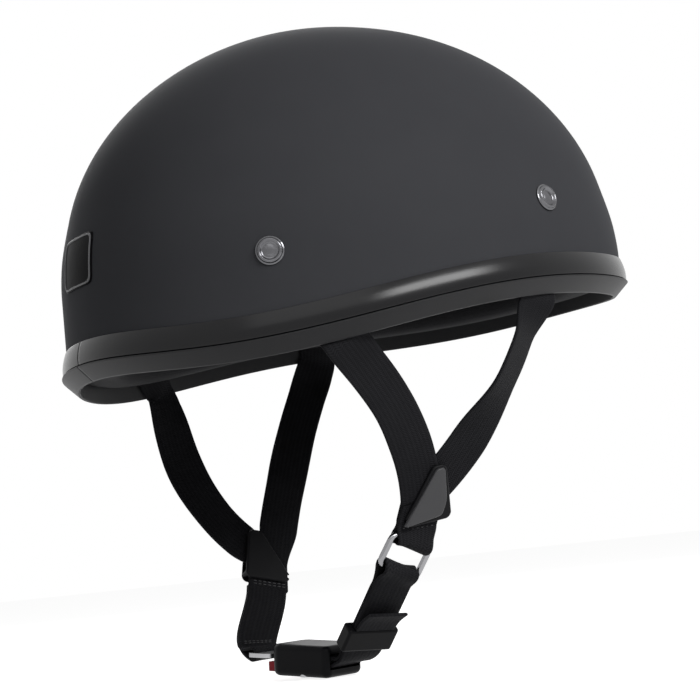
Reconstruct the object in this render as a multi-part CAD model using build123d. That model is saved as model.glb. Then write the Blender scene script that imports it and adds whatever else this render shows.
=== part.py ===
from build123d import *
import math
import os

# Half shell motorcycle helmet with a Y harness and a quick release chin strap.
# +Z up, front -Y, rear +Y, the wearer's left +X. The origin is the centre of
# the head space at the level of the shell's widest line. Millimetres.

# Shell: half widths of the outer face, and its shape
shell_half_width = 112.5
shell_front = 136.0
shell_rear = 140.5
shell_height = 113.0
shell_wall = 3.5
plan_power = 2.12
rim_flare = 3.0
flare_top = 24.0
flare_low = 12.0
skirt_depth = 75.0
grid_steps = 12
blank_margin = 12.0

# Rim line of the shell: depths below the widest line, evenly spaced from the
# brow to the nape
rim_depths = (22.8, 28.3, 35.2, 47.9, 49.8)
rim_steps = 16

# Edge trim: an upper band over the shell's outer face, a groove, and a round
# bead that wraps the shell's cut edge
trim_band = 11.0
trim_band_edge = 0.8
trim_band_proud = 2.4
trim_groove = 0.8
trim_bead = 7.5
trim_bead_proud = 3.4
trim_bead_lean = 7.2
shell_tuck = 1.5
trim_lip = 1.4
trim_lip_height = 8.0
lip_room = 1.6
bead_round = 2.0
bead_edge = 1.0
trim_seam = 0.4
fit_gap = 0.2

# Impact liner and comfort lining
liner_wall = 19.0
liner_rim_rise = 3.0
lining_wall = 2.5
lining_gap = 0.3

# Comfort pads: half widths and heights, and their places on the lining
pad_gap = 0.3
pad_thick = 7.0
pad_half_high = 16.0
brow_pad_half = 19.0
brow_pad_turn = 27.0
brow_pad_z = 2.0
nape_pad_half = 20.0
nape_pad_turn = 16.0
nape_pad_z = -24.0
side_pad_half = 26.0
side_pad_turn = 8.0
side_pad_z = -6.0
pad_swell = 1.5
crown_pad_radius = 44.0
crown_pad_hole = 15.0

# Straps
strap_width = 21.0
strap_thick = 1.5
strap_play = 0.3
rear_rivet_y = 91.0
rear_rivet_z = -14.0
front_rivet_y = -45.0
front_rivet_z = 7.0
rear_exit_y = 62.0
front_exit_y = -36.0
split_gap = 0.9
bend_gap = 0.8

# Rivets
rivet_head_radius = 6.0
rivet_head_height = 2.2
rivet_flange_radius = 7.2
rivet_flange_height = 0.7
rivet_dish_radius = 4.3
rivet_dish_depth = 0.7
rivet_shank_radius = 2.4
washer_radius = 7.5
washer_thick = 1.0
tail_radius = 4.2
tail_height = 1.4
rivet_hole_gap = 0.15
rivet_seat_gap = 0.35

# Harness linkage, seen from the front: the rim hinges, the ring pivot on the
# right and the strap bend on the left. All four axes run along Y.
rim_hinge_x = 104.0
rim_hinge_z = -48.0
ring_pivot_x = -62.0
ring_pivot_y = 17.0
ring_pivot_z = -143.0
left_bend_x = 60.5
left_bend_y = 31.0
left_bend_z = -159.0

# Strap guides: a moulded three-cornered sleeve
guide_height = 27.0
guide_width = 27.0
guide_thick = 7.6
guide_pocket = 4.9
guide_corner = 3.2
guide_edge = 1.0
guide_rib = 1.4
guide_rib_rise = 0.9
guide_eye_radius = 1.2
guide_crown_share = 0.17
guide_rib_share = 0.7
guide_post = 1.2
guide_post_share = 0.45
guide_rear_share = 0.075
guide_front_share = 0.185
right_guide_y = 14.5
right_guide_drop = 81.0
right_guide_turn = -9.0
left_guide_y = 26.0
left_guide_drop = 103.0
left_guide_turn = 14.0

# Free legs of the harness: side bow and twist
right_rear_bow = -5.5
right_front_bow = -6.0
left_rear_bow = 11.0
left_front_bow = 2.5
bow_skew_share = 0.4
rear_twist = 8.0
front_twist = 28.0
leg_belly = 2.5
leg_lead = 9.0
leg_layer = 1.0

# Wire ring
ring_wire_radius = 1.5
ring_inner_width = 22.5
ring_drop = 14.5
ring_corner = 3.0
ring_lean_x_share = 0.37
ring_lean_y_share = 0.5
ring_tilt_share = 0.16
loop_play = 0.7
loop_waist_share = 0.55
loop_neck_share = 0.9
leg_end_rise = 2.5
chin_shares = (0.0, 0.16, 0.35, 0.55, 0.78, 1.0)

# Buckle
buckle_x = 4.0
buckle_y = 36.5
buckle_z = -193.5
buckle_dir_share = (0.925, 0.365, 0.08)
buckle_long = 36.0
buckle_wide = 27.0
buckle_tall = 15.0
buckle_round = 3.6
buckle_wall = 1.8
tongue_wide = 15.0
tongue_thick = 2.0
tongue_in = 16.5
tongue_out = 15.0
tongue_head_wide = 26.0
tongue_play = 0.3
tongue_rise = 1.6
tongue_slot = 3.2
tongue_bar = 2.4
tongue_window = 6.0
button_wide = 19.0
button_tall = 4.6
button_in = 10.0
button_out = 4.5
button_play = 0.3
button_travel = 3.0
leaf_thick = 0.7
leaf_wide = 9.0
leaf_long = 20.0
leaf_nib = 3.6
leaf_rivet_radius = 1.5
pin_radius = 1.6
pin_set_back = 4.6
screw_radius = 1.5
screw_head_radius = 2.6
screw_head_tall = 1.3
screw_inset = 4.2
screw_x = -2.0

# Slider and the loose tail
slider_wide = 27.0
slider_long = 13.0
slider_thick = 7.2
slider_round = 1.4
slider_window_play = 0.35
slider_set_back = 15.5
bend_lead = 6.5
slider_travel = 11.0
tail_long = 14.0
tail_lift_angle = 25.0
tail_side = 1

trim_sections = 36
rim_passes = 12
cut_over = 1.0
probe = 0.5
bisections = 40
angle_probe = 0.001
leg_shares = (0.12, 0.25, 0.38, 0.5, 0.62, 0.74, 0.85, 0.96)
step_share = 0.01
wall_share = 0.4
flat_share = 0.7
twist_shares = (0.2, 0.38, 0.75)
HALF = 180.0
QUARTER = 90.0


def eased(share):
    share = min(1, max(0, share))
    return share * share * (3 - 2 * share)


def plan_radius(angle, inset):
    """Distance from the axis to the wall at an angle, 0 at +X and 90 at the rear."""
    cosine = math.cos(angle)
    sine = math.sin(angle)
    middle = (shell_front + shell_rear) / 2
    offset = (shell_rear - shell_front) / 2
    half_length = middle + offset * sine - inset
    half_width = shell_half_width - inset
    side = (abs(cosine) / half_width) ** plan_power
    end = (abs(sine) / half_length) ** plan_power
    return (side + end) ** (-1 / plan_power)


def wall_point(angle, reach, inset):
    """Point on the wall: reach 0 at the crown, 1 at the widest line, more below it."""
    radius = plan_radius(angle, inset)
    if reach <= 1:
        sweep = reach * math.pi / 2
        radius = radius * math.sin(sweep)
        height = (shell_height - inset) * math.cos(sweep)
    else:
        height = -(reach - 1) * (shell_height - inset) * math.pi / 2
    radius = radius + rim_flare * eased((flare_top - height) / (flare_top + flare_low))
    return Vector(radius * math.cos(angle), radius * math.sin(angle), height)


def dome(inset):
    """Solid inside the wall at an inset from the shell's outer face."""
    lowest = 1 + skirt_depth / ((shell_height - inset) * math.pi / 2)
    rows = []
    for i in range(-grid_steps, grid_steps + 1):
        row = []
        for j in range(-grid_steps, grid_steps + 1):
            u = i / grid_steps
            v = j / grid_steps
            x = u * math.sqrt(1 - v * v / 2)
            y = v * math.sqrt(1 - u * u / 2)
            row.append(wall_point(math.atan2(y, x), lowest * math.hypot(x, y), inset))
        rows.append(row)
    skin = Face.make_surface_from_array_of_points(rows)
    floor = skirt_depth - blank_margin / 2
    tall = shell_height + blank_margin + floor
    wide = 2 * (shell_half_width + rim_flare + blank_margin)
    deep = 2 * (shell_rear + rim_flare + blank_margin)
    blank = Pos(0, 0, tall / 2 - floor) * Box(wide, deep, tall)
    parts = blank.split(skin, keep=Keep.ALL)
    solids = [s for s in parts.solids() if s.is_inside(Vector(0, 0, 0))]
    return solids[0]


def rim_height(y):
    """Height of the rim line at a distance along Y: one smooth curve through the depths."""
    half = (shell_front + shell_rear) / 2
    share = (y - (shell_rear - shell_front) / 2) / half
    last = len(rim_depths) - 1
    height = 0.0
    for i, depth in enumerate(rim_depths):
        here = 2 * i / last - 1
        weight = 1.0
        for j in range(last + 1):
            other = 2 * j / last - 1
            if j != i:
                weight = weight * (share - other) / (here - other)
        height = height - depth * weight
    return height


def rim_curve(rise):
    start = -shell_front - blank_margin
    reach = shell_rear + rim_flare + blank_margin - start
    places = [start + reach * i / rim_steps for i in range(rim_steps + 1)]
    return [(y, rise + rim_height(y)) for y in places]


def above_rim(rise):
    """Block above the rim line, lifted by rise."""
    points = rim_curve(rise)
    wide = 2 * (shell_half_width + rim_flare + blank_margin)
    top = shell_height + blank_margin
    with BuildPart() as block:
        with BuildSketch(Plane.YZ):
            with BuildLine():
                line = Spline(*points)
                first = line @ 0
                last = line @ 1
                Polyline(first, (first.X, top), (last.X, top), last)
            make_face()
        extrude(amount=wide)
    return Pos(-wide / 2, 0, 0) * block.part


def between(low_rise, high_rise):
    """Band that follows the rim line, from one rise to the other."""
    return above_rim(low_rise) - above_rim(high_rise)


def wall_reach(z, inset):
    height = shell_height - inset
    if z >= 0:
        return math.acos(z / height) * 2 / math.pi
    return 1 - z / (height * math.pi / 2)


def wall_plane(angle, z, inset):
    """Plane on the wall at an angle and a height: its z axis points out, its y axis up."""
    reach = wall_reach(z, inset)
    here = wall_point(angle, reach, inset)
    along = wall_point(angle + angle_probe, reach, inset) - here
    up = wall_point(angle, reach - angle_probe, inset) - here
    return Plane(origin=here, x_dir=along.normalized(), z_dir=along.cross(up).normalized())


def wall_frame(y, z, inset, side):
    """Plane on the wall at a side-view place, on the right (-1) or the left (1)."""
    low = -math.pi / 2
    high = math.pi / 2
    for step in range(bisections):
        middle = (low + high) / 2
        if wall_point(middle, wall_reach(z, inset), inset).Y < y:
            low = middle
        else:
            high = middle
    angle = middle if side > 0 else math.pi - middle
    return wall_plane(angle, z, inset)


def section(point, width_dir, travel, wide, thick):
    return Plane(origin=point, x_dir=width_dir, z_dir=travel) * Rectangle(wide, thick)


def webbing(stations):
    """Strap through stations of point, width direction, travel, width and thickness."""
    return loft([section(*station) for station in stations])


def unit(x, y, z):
    return Vector(x, y, z).normalized()


def square_to(vector, axis):
    return (vector - axis * vector.dot(axis)).normalized()


# Harness planes: each side's two legs and guide lie in one plane that hangs
# from the rim hinge
ring_pivot = Vector(ring_pivot_x, ring_pivot_y, ring_pivot_z)
left_bend = Vector(left_bend_x, left_bend_y, left_bend_z)
y_axis = Vector(0, 1, 0)


def hang_frame(side):
    lowest = ring_pivot if side < 0 else left_bend
    hinge = Vector(side * rim_hinge_x, 0, rim_hinge_z)
    down = Vector(lowest.X, 0, lowest.Z) - hinge
    down = down.normalized()
    out = Vector(side * abs(down.Z), 0, -abs(down.X))
    return hinge, down, out


def hang_point(side, y, drop, out_by=0):
    hinge, down, out = hang_frame(side)
    return hinge + down * drop + y_axis * y + out * out_by


def leg_stations(side, start_y, start_z, end_y, end_drop, bow, twist, layer):
    """Free leg of the harness: from above the rim's lower edge to a little past its end in the guide."""
    hinge, down, out = hang_frame(side)
    wall = wall_frame(start_y, start_z - split_gap, strap_inset + strap_thick / 2, side)
    start = wall.origin
    start_off = (start - hinge).dot(out)
    straight = hang_point(side, end_y, end_drop, start_off) - start
    side_dir = square_to(y_axis, straight.normalized())
    lead = leg_lead / straight.length

    def place(share):
        swell = 4 * share * (1 - share) * (1 + bow_skew_share * (2 * share - 1))
        ease = eased(share / flat_share)
        off = (layer - start_off) * ease + leg_belly * 4 * ease * (1 - ease)
        return start + straight * share + side_dir * (bow * swell) + out * off

    full, hold, flat = twist_shares
    stations = []
    for share in (-lead,) + leg_shares + (1 + lead,):
        point = place(share)
        travel = (place(share + step_share) - place(share - step_share)).normalized()
        blend = min(1, max(0, share / wall_share))
        face = square_to(wall.z_dir * (1 - blend) + out * blend, travel)
        turned = eased(share / full) - eased((share - hold) / (flat - hold))
        angle = math.radians(twist) * turned
        lean = travel.cross(face)
        turn = -1 if lean.Y > 0 else 1
        face = face * math.cos(angle) + lean * (math.sin(angle) * turn)
        stations.append((point, travel.cross(face).normalized(), travel, strap_width, strap_thick))
    return stations


def inner_run(side, rivet_y, rivet_z, exit_y, exit_z, extra=0, out_by=0, deep_by=0, past=0):
    """Part of a strap between the shell and the liner, from its rivet to the rim."""
    run = Vector(0, exit_y - rivet_y, exit_z - rivet_z)
    angle = math.degrees(math.atan2(run.Z, run.Y))
    length = run.length + extra + past
    wide = strap_width + 2 * extra
    tail = strap_width / 2
    flat = Pos(rivet_y, rivet_z) * Rot(0, 0, angle) * (
        Pos((length - tail) / 2, 0) * Rectangle(length + tail, wide)
    )
    block = extrude(Plane.YZ * flat, amount=side * (shell_half_width + blank_margin))
    outer = strap_inset - out_by
    inner = strap_inset + strap_thick + deep_by
    return (domes(outer) - domes(inner)) & block


dome_store = {}


def domes(inset):
    key = round(inset, 3)
    if key not in dome_store:
        dome_store[key] = dome(inset)
    return dome_store[key]


lip_inset = shell_wall + fit_gap + trim_lip
strap_inset = lip_inset + strap_play
liner_inset = shell_wall + fit_gap
liner_inner = liner_inset + liner_wall
lining_outer = liner_inner + lining_gap
lining_inner = lining_outer + lining_wall
pad_outer = lining_inner + pad_gap
pad_inner = pad_outer + pad_thick
washer_sag = washer_radius ** 2 / (2 * shell_height)
keeper_top = strap_inset + strap_thick + strap_play + washer_sag
rivet_reach = keeper_top + washer_thick + fit_gap / 2 + tail_height
sides = ((-1, "right"), (1, "left"))


anchor_rise = -trim_bead - strap_play
leg_rise = anchor_rise - split_gap
rear_exit_z = rim_height(rear_exit_y) + anchor_rise
front_exit_z = rim_height(front_exit_y) + anchor_rise

# Each strap run: name, rivet place, exit place
runs = (
    ("rear", rear_rivet_y, rear_rivet_z, rear_exit_y, rear_exit_z),
    ("front", front_rivet_y, front_rivet_z, front_exit_y, front_exit_z),
)


def rivet_planes():
    planes = []
    for side, side_name in sides:
        for name, y, z, exit_y, exit_z in runs:
            planes.append((wall_frame(y, z, 0, side), side_name, name))
    return planes


def build_shell():
    shell = (domes(0) - domes(shell_wall)) & above_rim(-shell_tuck)
    for plane, side_name, name in rivet_planes():
        radius = rivet_shank_radius + rivet_hole_gap
        shell = shell - plane * Cylinder(radius, 4 * shell_wall)
    return shell


def rim_point(angle):
    """Point of the shell's outer face on the rim line."""
    height = -rim_depths[2]
    for step in range(rim_passes):
        point = wall_point(angle, 1 - height / (shell_height * math.pi / 2), 0)
        height = rim_height(point.Y)
    return point


def rim_plane(angle):
    """Plane across the rim: its x axis points out of the shell, its y axis up the wall."""
    here = rim_point(angle)
    travel = (rim_point(angle + angle_probe) - rim_point(angle - angle_probe)).normalized()
    reach = 1 - here.Z / (shell_height * math.pi / 2)
    up = (wall_point(angle, reach - angle_probe, 0) - wall_point(angle, reach + angle_probe, 0)).normalized()
    out = travel.cross(up).normalized()
    return Plane(origin=here, x_dir=out, z_dir=out.cross(up).normalized())


def trim_profile():
    """Outline of the moulding: x out from the shell's outer face, y up from the rim line."""
    back = -lip_inset - trim_lip
    points = (
        (back, trim_lip_height),
        (-liner_inset, trim_lip_height),
        (0, trim_band),
        (trim_band_edge, trim_band),
        (trim_band_proud, trim_groove / 2),
        (trim_band_proud - trim_groove, 0),
        (trim_bead_proud, -trim_groove / 2),
        (trim_bead_proud - trim_bead_lean, -trim_bead),
        (back, -trim_bead),
    )
    profile = make_face(Polyline(*points, close=True))
    profile = fillet(profile.vertices().sort_by(Axis.X)[-1], bead_edge)
    toe = profile.vertices().sort_by(Axis.Y)[:2].sort_by(Axis.X)[-1]
    return fillet(toe, bead_round)


def build_trim():
    """Moulding lofted round the rim, with the shell's edge and the head side cut to the shell's own form."""
    profile = trim_profile()
    start = math.pi / 2 + trim_seam / shell_rear
    turn = 2 * math.pi - 2 * trim_seam / shell_rear
    sections = []
    for i in range(trim_sections + 1):
        plane = rim_plane(start + turn * i / trim_sections)
        sections.append(plane * profile)
    channel = (domes(-fit_gap) - domes(liner_inset)) & above_rim(-shell_tuck - fit_gap)
    return loft(sections) - domes(lip_inset) - channel


def build_liner():
    liner = (domes(liner_inset) - domes(liner_inner)) & above_rim(liner_rim_rise)
    rebate = (domes(shell_wall / 2) - domes(lip_inset + strap_play)) - above_rim(trim_lip_height + lip_room)
    liner = liner - rebate
    for side, side_name in sides:
        for name, y, z, exit_y, exit_z in runs:
            liner = liner - inner_run(side, y, z, exit_y, exit_z, strap_play, liner_wall / 4, strap_play)
    for plane, side_name, name in rivet_planes():
        depth = rivet_reach + strap_play
        pocket = Pos(0, 0, -depth / 2) * Cylinder(washer_radius + strap_play, depth)
        liner = liner - plane * pocket
    return liner


def build_lining():
    return (domes(lining_outer) - domes(lining_inner)) & above_rim(liner_rim_rise)


def cushion(angle, z, half_wide, half_high):
    """Crowned pad on the lining: a swollen oval, drawn in at its edge."""
    plane = wall_plane(math.radians(angle), z, pad_outer)
    oval = scale(Sphere(1), by=(half_wide, half_high, pad_thick * pad_swell))
    return ((plane * oval) & (domes(pad_outer) - domes(pad_inner))).solid()


def build_brow_pad():
    angles = (-QUARTER - brow_pad_turn, -QUARTER, -QUARTER + brow_pad_turn)
    return Compound([cushion(angle, brow_pad_z, brow_pad_half, pad_half_high) for angle in angles])


def build_nape_pad():
    angles = (QUARTER - nape_pad_turn, QUARTER + nape_pad_turn)
    return Compound([cushion(angle, nape_pad_z, nape_pad_half, pad_half_high) for angle in angles])


def build_side_pad(side):
    angle = side_pad_turn if side > 0 else HALF - side_pad_turn
    return cushion(angle, side_pad_z, side_pad_half, pad_half_high)


def build_crown_pad():
    plane = Plane(origin=(0, 0, shell_height - pad_outer))
    oval = scale(Sphere(1), by=(crown_pad_radius, crown_pad_radius, pad_thick * pad_swell))
    pad = (plane * oval) & (domes(pad_outer) - domes(pad_inner))
    return pad - plane * Cylinder(crown_pad_hole, 4 * pad_thick)


def rivet_shape():
    """Dished rivet head on a flange, with its shank inward along -Z."""
    foot = rivet_flange_height + rivet_seat_gap
    points = (
        (0, -rivet_reach),
        (tail_radius, -rivet_reach),
        (tail_radius, tail_height - rivet_reach),
        (rivet_shank_radius, tail_height - rivet_reach),
        (rivet_shank_radius, rivet_seat_gap),
        (rivet_flange_radius, rivet_seat_gap),
        (rivet_flange_radius, foot),
        (rivet_head_radius, foot + fit_gap),
        (rivet_dish_radius + fit_gap, rivet_head_height),
        (rivet_dish_radius, rivet_head_height),
        (rivet_dish_radius - fit_gap, rivet_head_height - rivet_dish_depth),
        (0, rivet_head_height - rivet_dish_depth),
    )
    profile = make_face(Polyline(*points, close=True))
    return revolve(Plane.XZ * profile, Axis.Z)


def build_rivets():
    shape = rivet_shape()
    return Compound([(plane * shape).solid() for plane, side, name in rivet_planes()])


def build_washers():
    """At each rivet a curved spacer behind the shell and a flat keeper under the strap."""
    inner = Cylinder(rivet_shank_radius + rivet_hole_gap, 4 * liner_wall)
    keeper = Pos(0, 0, -keeper_top - washer_thick / 2) * Cylinder(washer_radius, washer_thick)
    gap_layer = domes(liner_inset) - domes(lip_inset)
    solids = []
    for plane, side, name in rivet_planes():
        disc = plane * Cylinder(washer_radius, 4 * shell_wall)
        solids.append(((gap_layer & disc) - plane * inner).solid())
        solids.append((plane * (keeper - inner)).solid())
    return Compound(solids)


def build_inner_strap(side, run):
    name, y, z, exit_y, exit_z = run
    strap = inner_run(side, y, z, exit_y, exit_z, 0, 0, 0, strap_width / 2) & above_rim(anchor_rise)
    hole = Cylinder(rivet_shank_radius + rivet_hole_gap, 4 * liner_wall)
    return strap - wall_frame(y, z, 0, side) * hole


def guide_plane(side, y, drop, turn):
    """Plane in the middle of a guide: y up the strap, z outward, x to the rear on the left."""
    hinge, down, out = hang_frame(side)
    angle = math.radians(turn)
    across = y_axis * math.cos(angle) - down * math.sin(angle)
    return Plane(origin=hang_point(side, y, drop), x_dir=across * side, z_dir=out)


def build_leg(side, guide, start_y, start_z, end_y, end_drop, bow, twist, layer):
    strap = webbing(leg_stations(side, start_y, start_z, end_y, end_drop, bow, twist, layer))
    below = Pos(0, leg_end_rise - guide_height, 0) * Box(4 * guide_width, 2 * guide_height, guide_height)
    return strap - above_rim(leg_rise) - guide_plane(side, *guide) * below


def build_guide(side, y, drop, turn):
    """The same moulding on both sides: its peak leans to the front on the right."""
    half = guide_width / 2
    tall = guide_height / 2
    crown = guide_width * guide_crown_share
    corners = (
        (half, -tall),
        (-half, -tall),
        (half - crown * 2, tall),
        (half - crown / 2, tall),
    )
    outline = make_face(Polyline(*corners, close=True))
    outline = fillet(outline.vertices(), guide_corner)
    body = extrude(outline, amount=guide_thick / 2, both=True)
    rims = body.edges().filter_by(GeomType.LINE) + body.edges().filter_by(GeomType.CIRCLE)
    rims = [e for e in rims if abs(abs(e.center().Z) - guide_thick / 2) < probe / 10]
    body = fillet(rims, guide_edge)
    pocket = Box(4 * guide_width, 4 * guide_height, guide_pocket)
    for sign in (-1, 1):
        post_x = sign * (half - guide_corner * guide_post_share)
        pocket = pocket - Pos(post_x, -tall + guide_corner) * Cylinder(guide_post, guide_pocket)
    body = body - pocket
    rib_run = Vector(crown * 2 - 2 * half, -2 * tall)
    rib_angle = math.degrees(math.atan2(rib_run.Y, rib_run.X))
    rib = Box(guide_height * guide_rib_share, guide_rib, guide_rib_rise + guide_edge)
    rib = fillet(rib.edges().filter_by(Axis.Z), guide_rib / 3)
    rib_at = Pos(guide_rib, 0, guide_thick / 2 + (guide_rib_rise - guide_edge) / 2)
    body = body + rib_at * Rot(0, 0, rib_angle) * rib
    eye = Pos(guide_corner - half, -tall + guide_corner) * Cylinder(guide_eye_radius, 4 * guide_thick)
    return guide_plane(side, y, drop, turn) * (body - eye)


# Ring and right chin strap: directions and the route from the ring to the buckle
ring_down = unit(ring_lean_x_share, ring_lean_y_share, -1)
ring_bar = square_to(unit(-ring_lean_x_share / 4, 1, -ring_tilt_share), ring_down)
ring_foot = ring_pivot + ring_down * ring_drop
buckle_dir = unit(*buckle_dir_share)
buckle_width_dir = unit(-buckle_dir.Y, buckle_dir.X, 0)
buckle_up = buckle_dir.cross(buckle_width_dir).normalized()
buckle_at = Vector(buckle_x, buckle_y, buckle_z)
buckle_plane = Plane(origin=buckle_at, x_dir=buckle_dir, z_dir=buckle_up)
half_long = buckle_long / 2
bend_at = buckle_at - buckle_dir * (half_long + bend_lead)
chin_dir = (bend_at - ring_foot).normalized()
chin_width = square_to(ring_bar, chin_dir)
slider_at = bend_at - chin_dir * slider_set_back
slider_plane = Plane(origin=slider_at, x_dir=chin_width, z_dir=chin_dir)
doubled = 2 * strap_thick + fit_gap
ring_hole = ring_wire_radius + loop_play
pin_x = pin_set_back - half_long
pin_at = buckle_at + buckle_dir * pin_x
pin_hole = pin_radius + strap_play
button_rise = -(button_tall / 2 + leaf_thick + 2 * button_play)


def bar_cylinder(point, direction, radius, length):
    return Plane(origin=point, z_dir=direction) * Cylinder(radius, length)


def looped(stations, bars):
    """Doubled strap with a loop at each bar: point, direction and hole radius."""
    strap = webbing(stations)
    for point, direction, hole in bars:
        strap = strap + bar_cylinder(point, direction, hole + strap_thick, strap_width)
    for point, direction, hole in bars:
        strap = strap - bar_cylinder(point, direction, hole, 2 * strap_width)
    return strap


def loop_thick(hole):
    return 2 * (hole + strap_thick)


def guide_mouth(side, y, drop, turn):
    """Middle of the webbing inside a guide, its width direction and its travel down."""
    plane = guide_plane(side, y, drop, turn)
    hinge, down, out = hang_frame(side)
    travel = square_to(down, plane.x_dir)
    return plane.origin + travel * leg_end_rise, plane.x_dir * side, travel


def build_right_loop():
    start, wide_dir, travel = guide_mouth(-1, right_guide_y, right_guide_drop, right_guide_turn)
    to_bar = (ring_pivot - start).normalized()
    middle = start + (ring_pivot - start) * loop_waist_share
    stations = [
        (start, square_to(wide_dir, to_bar), to_bar, strap_width, doubled),
        (middle, square_to(wide_dir, to_bar), to_bar, strap_width, doubled),
        (ring_pivot, ring_bar, square_to(to_bar, ring_bar), strap_width, loop_thick(ring_hole)),
    ]
    return looped(stations, [(ring_pivot, ring_bar, ring_hole)])


def build_ring():
    wide = ring_inner_width + 2 * ring_wire_radius
    plane = Plane(
        origin=ring_pivot + ring_down * (ring_drop / 2), x_dir=ring_bar, z_dir=ring_bar.cross(ring_down)
    )
    path = (plane * RectangleRounded(wide, ring_drop, ring_corner)).wire()
    start = path @ 0
    return sweep(Plane(origin=start, z_dir=path % 0) * Circle(ring_wire_radius), path)


def build_right_chin_strap():
    near = ring_foot + chin_dir * (loop_thick(ring_hole) * loop_neck_share)
    bend_in = bend_at - chin_dir * bend_lead
    bend_out = bend_at + buckle_dir * bend_lead
    bend_mid = (bend_in + bend_at * 2 + bend_out) / 4
    bend_dir = (chin_dir + buckle_dir).normalized()
    turn_width = square_to(chin_width + buckle_width_dir, bend_dir)
    stations = [
        (ring_foot, ring_bar, chin_dir, strap_width, loop_thick(ring_hole)),
        (near, chin_width, chin_dir, strap_width, doubled),
        (slider_at, chin_width, chin_dir, strap_width, doubled),
        (bend_in, chin_width, chin_dir, strap_width, doubled),
        (bend_mid, turn_width, bend_dir, strap_width, doubled),
        (bend_out, buckle_width_dir, buckle_dir, strap_width, doubled),
    ]
    last = [
        (bend_out, buckle_width_dir, buckle_dir, strap_width, doubled),
        (pin_at, buckle_width_dir, buckle_dir, strap_width, loop_thick(pin_hole)),
    ]
    upper = loft([section(*station) for station in stations[:2]])
    straight = loft([section(*station) for station in stations[1:4]], ruled=True)
    curve = loft([section(*station) for station in stations[3:]])
    strap = upper + straight + curve + webbing(last)
    for point, direction, hole in ((ring_foot, ring_bar, ring_hole), (pin_at, buckle_width_dir, pin_hole)):
        strap = strap + bar_cylinder(point, direction, hole + strap_thick, strap_width)
    for point, direction, hole in ((ring_foot, ring_bar, ring_hole), (pin_at, buckle_width_dir, pin_hole)):
        strap = strap - bar_cylinder(point, direction, hole, 2 * strap_width)
    return strap


def build_slider():
    body = Box(slider_wide, slider_thick, slider_long)
    body = fillet(body.edges(), slider_round)
    play = 2 * slider_window_play
    window = Box(strap_width + play, doubled + play, 2 * slider_long)
    return slider_plane * (body - window)


def build_strap_tail():
    out = slider_plane.y_dir * tail_side
    if out.X > 0:
        out = out * -1
    foot = slider_at - chin_dir * (slider_long / 2 + fit_gap) + out * (doubled / 2 + strap_thick / 2 + strap_play)
    angle = math.radians(tail_lift_angle)
    lifted = chin_dir * -math.cos(angle) + out * math.sin(angle)
    middle = foot + (chin_dir * -1 + lifted).normalized() * (tail_long / 2)
    tip = middle + lifted * (tail_long / 2)
    stations = [
        (foot, chin_width, chin_dir * -1, strap_width, strap_thick),
        (middle, chin_width, (lifted - chin_dir).normalized(), strap_width, strap_thick),
        (tip, chin_width, lifted, strap_width, strap_thick),
    ]
    return webbing(stations)


def buckle_block():
    block = Box(buckle_long, buckle_wide, buckle_tall)
    upright = block.edges().filter_by(Axis.Z).sort_by(Axis.X)
    block = fillet(upright[-2:], buckle_round * 1.6)
    block = fillet(block.edges().filter_by(Axis.Z).sort_by(Axis.X)[:2], buckle_round)
    caps = [e for e in block.edges() if abs(abs(e.center().Z) - buckle_tall / 2) < probe / 10]
    return fillet(caps, buckle_round * 0.8)


def buckle_cavities():
    """Hollows of the closed buckle, in its own frame: x to the tongue, z to the chin."""
    strap_high = loop_thick(pin_hole) + 2 * strap_play
    strap_deep = pin_x + pin_hole + strap_thick + strap_play + half_long
    strap_room = Pos(strap_deep / 2 - half_long - cut_over / 2, 0) * Box(
        strap_deep + cut_over, strap_width + 4 * strap_play, strap_high
    )
    channel_long = half_long - pin_x
    channel_high = tongue_rise + tongue_thick / 2 + tongue_play
    channel = Pos(half_long - channel_long / 2 + cut_over / 2, 0, channel_high / 2) * Box(
        channel_long + cut_over, tongue_wide + 2 * tongue_play, channel_high
    )
    button_long = button_in + button_travel + button_play
    button_room = Pos(half_long - button_long / 2 + cut_over / 2, 0, button_rise) * Box(
        button_long + cut_over, button_wide + 2 * button_play, button_tall + 2 * button_play
    )
    leaf_start = pin_x + pin_hole + strap_thick + strap_play
    leaf_room_long = leaf_long + 4 * tongue_play
    leaf_room = Pos(leaf_start + leaf_room_long / 2, 0, -leaf_nib / 2) * Box(
        leaf_room_long, leaf_wide + 2 * tongue_play, leaf_nib
    )
    pin_room = Pos(pin_x, 0) * Rot(QUARTER, 0, 0) * Cylinder(pin_radius, buckle_wide - 2 * buckle_wall)
    return strap_room + channel + button_room + leaf_room + pin_room


def leaf_places():
    start = pin_x + pin_hole + strap_thick + 2 * strap_play
    return start, start + leaf_rivet_radius * 1.5, start + leaf_long


def build_buckle_half(upper):
    sign = 1 if upper else -1
    keep = Pos(0, 0, sign * buckle_tall) * Box(2 * buckle_long, 2 * buckle_wide, 2 * buckle_tall)
    half = (buckle_block() - buckle_cavities()) & keep
    start, rivet_x, end = leaf_places()
    if not upper:
        boss = Pos(rivet_x, 0, -leaf_thick - tongue_play - leaf_nib / 2) * Cylinder(leaf_rivet_radius * 1.6, leaf_nib)
        hole = Pos(rivet_x, 0, 0) * Cylinder(leaf_rivet_radius, 2 * leaf_nib)
        half = half + (boss & keep) - hole
    for y in (-1, 1):
        at = Pos(screw_x, y * (tongue_wide / 2 + screw_inset / 1.4))
        shank = at * Pos(0, 0, -buckle_tall / 8) * Cylinder(screw_radius, buckle_tall * 0.75 + screw_head_tall)
        head = at * Pos(0, 0, -buckle_tall / 2) * Cylinder(screw_head_radius, 2 * screw_head_tall + 2 * fit_gap)
        half = half - shank - head
    return buckle_plane * half


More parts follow.
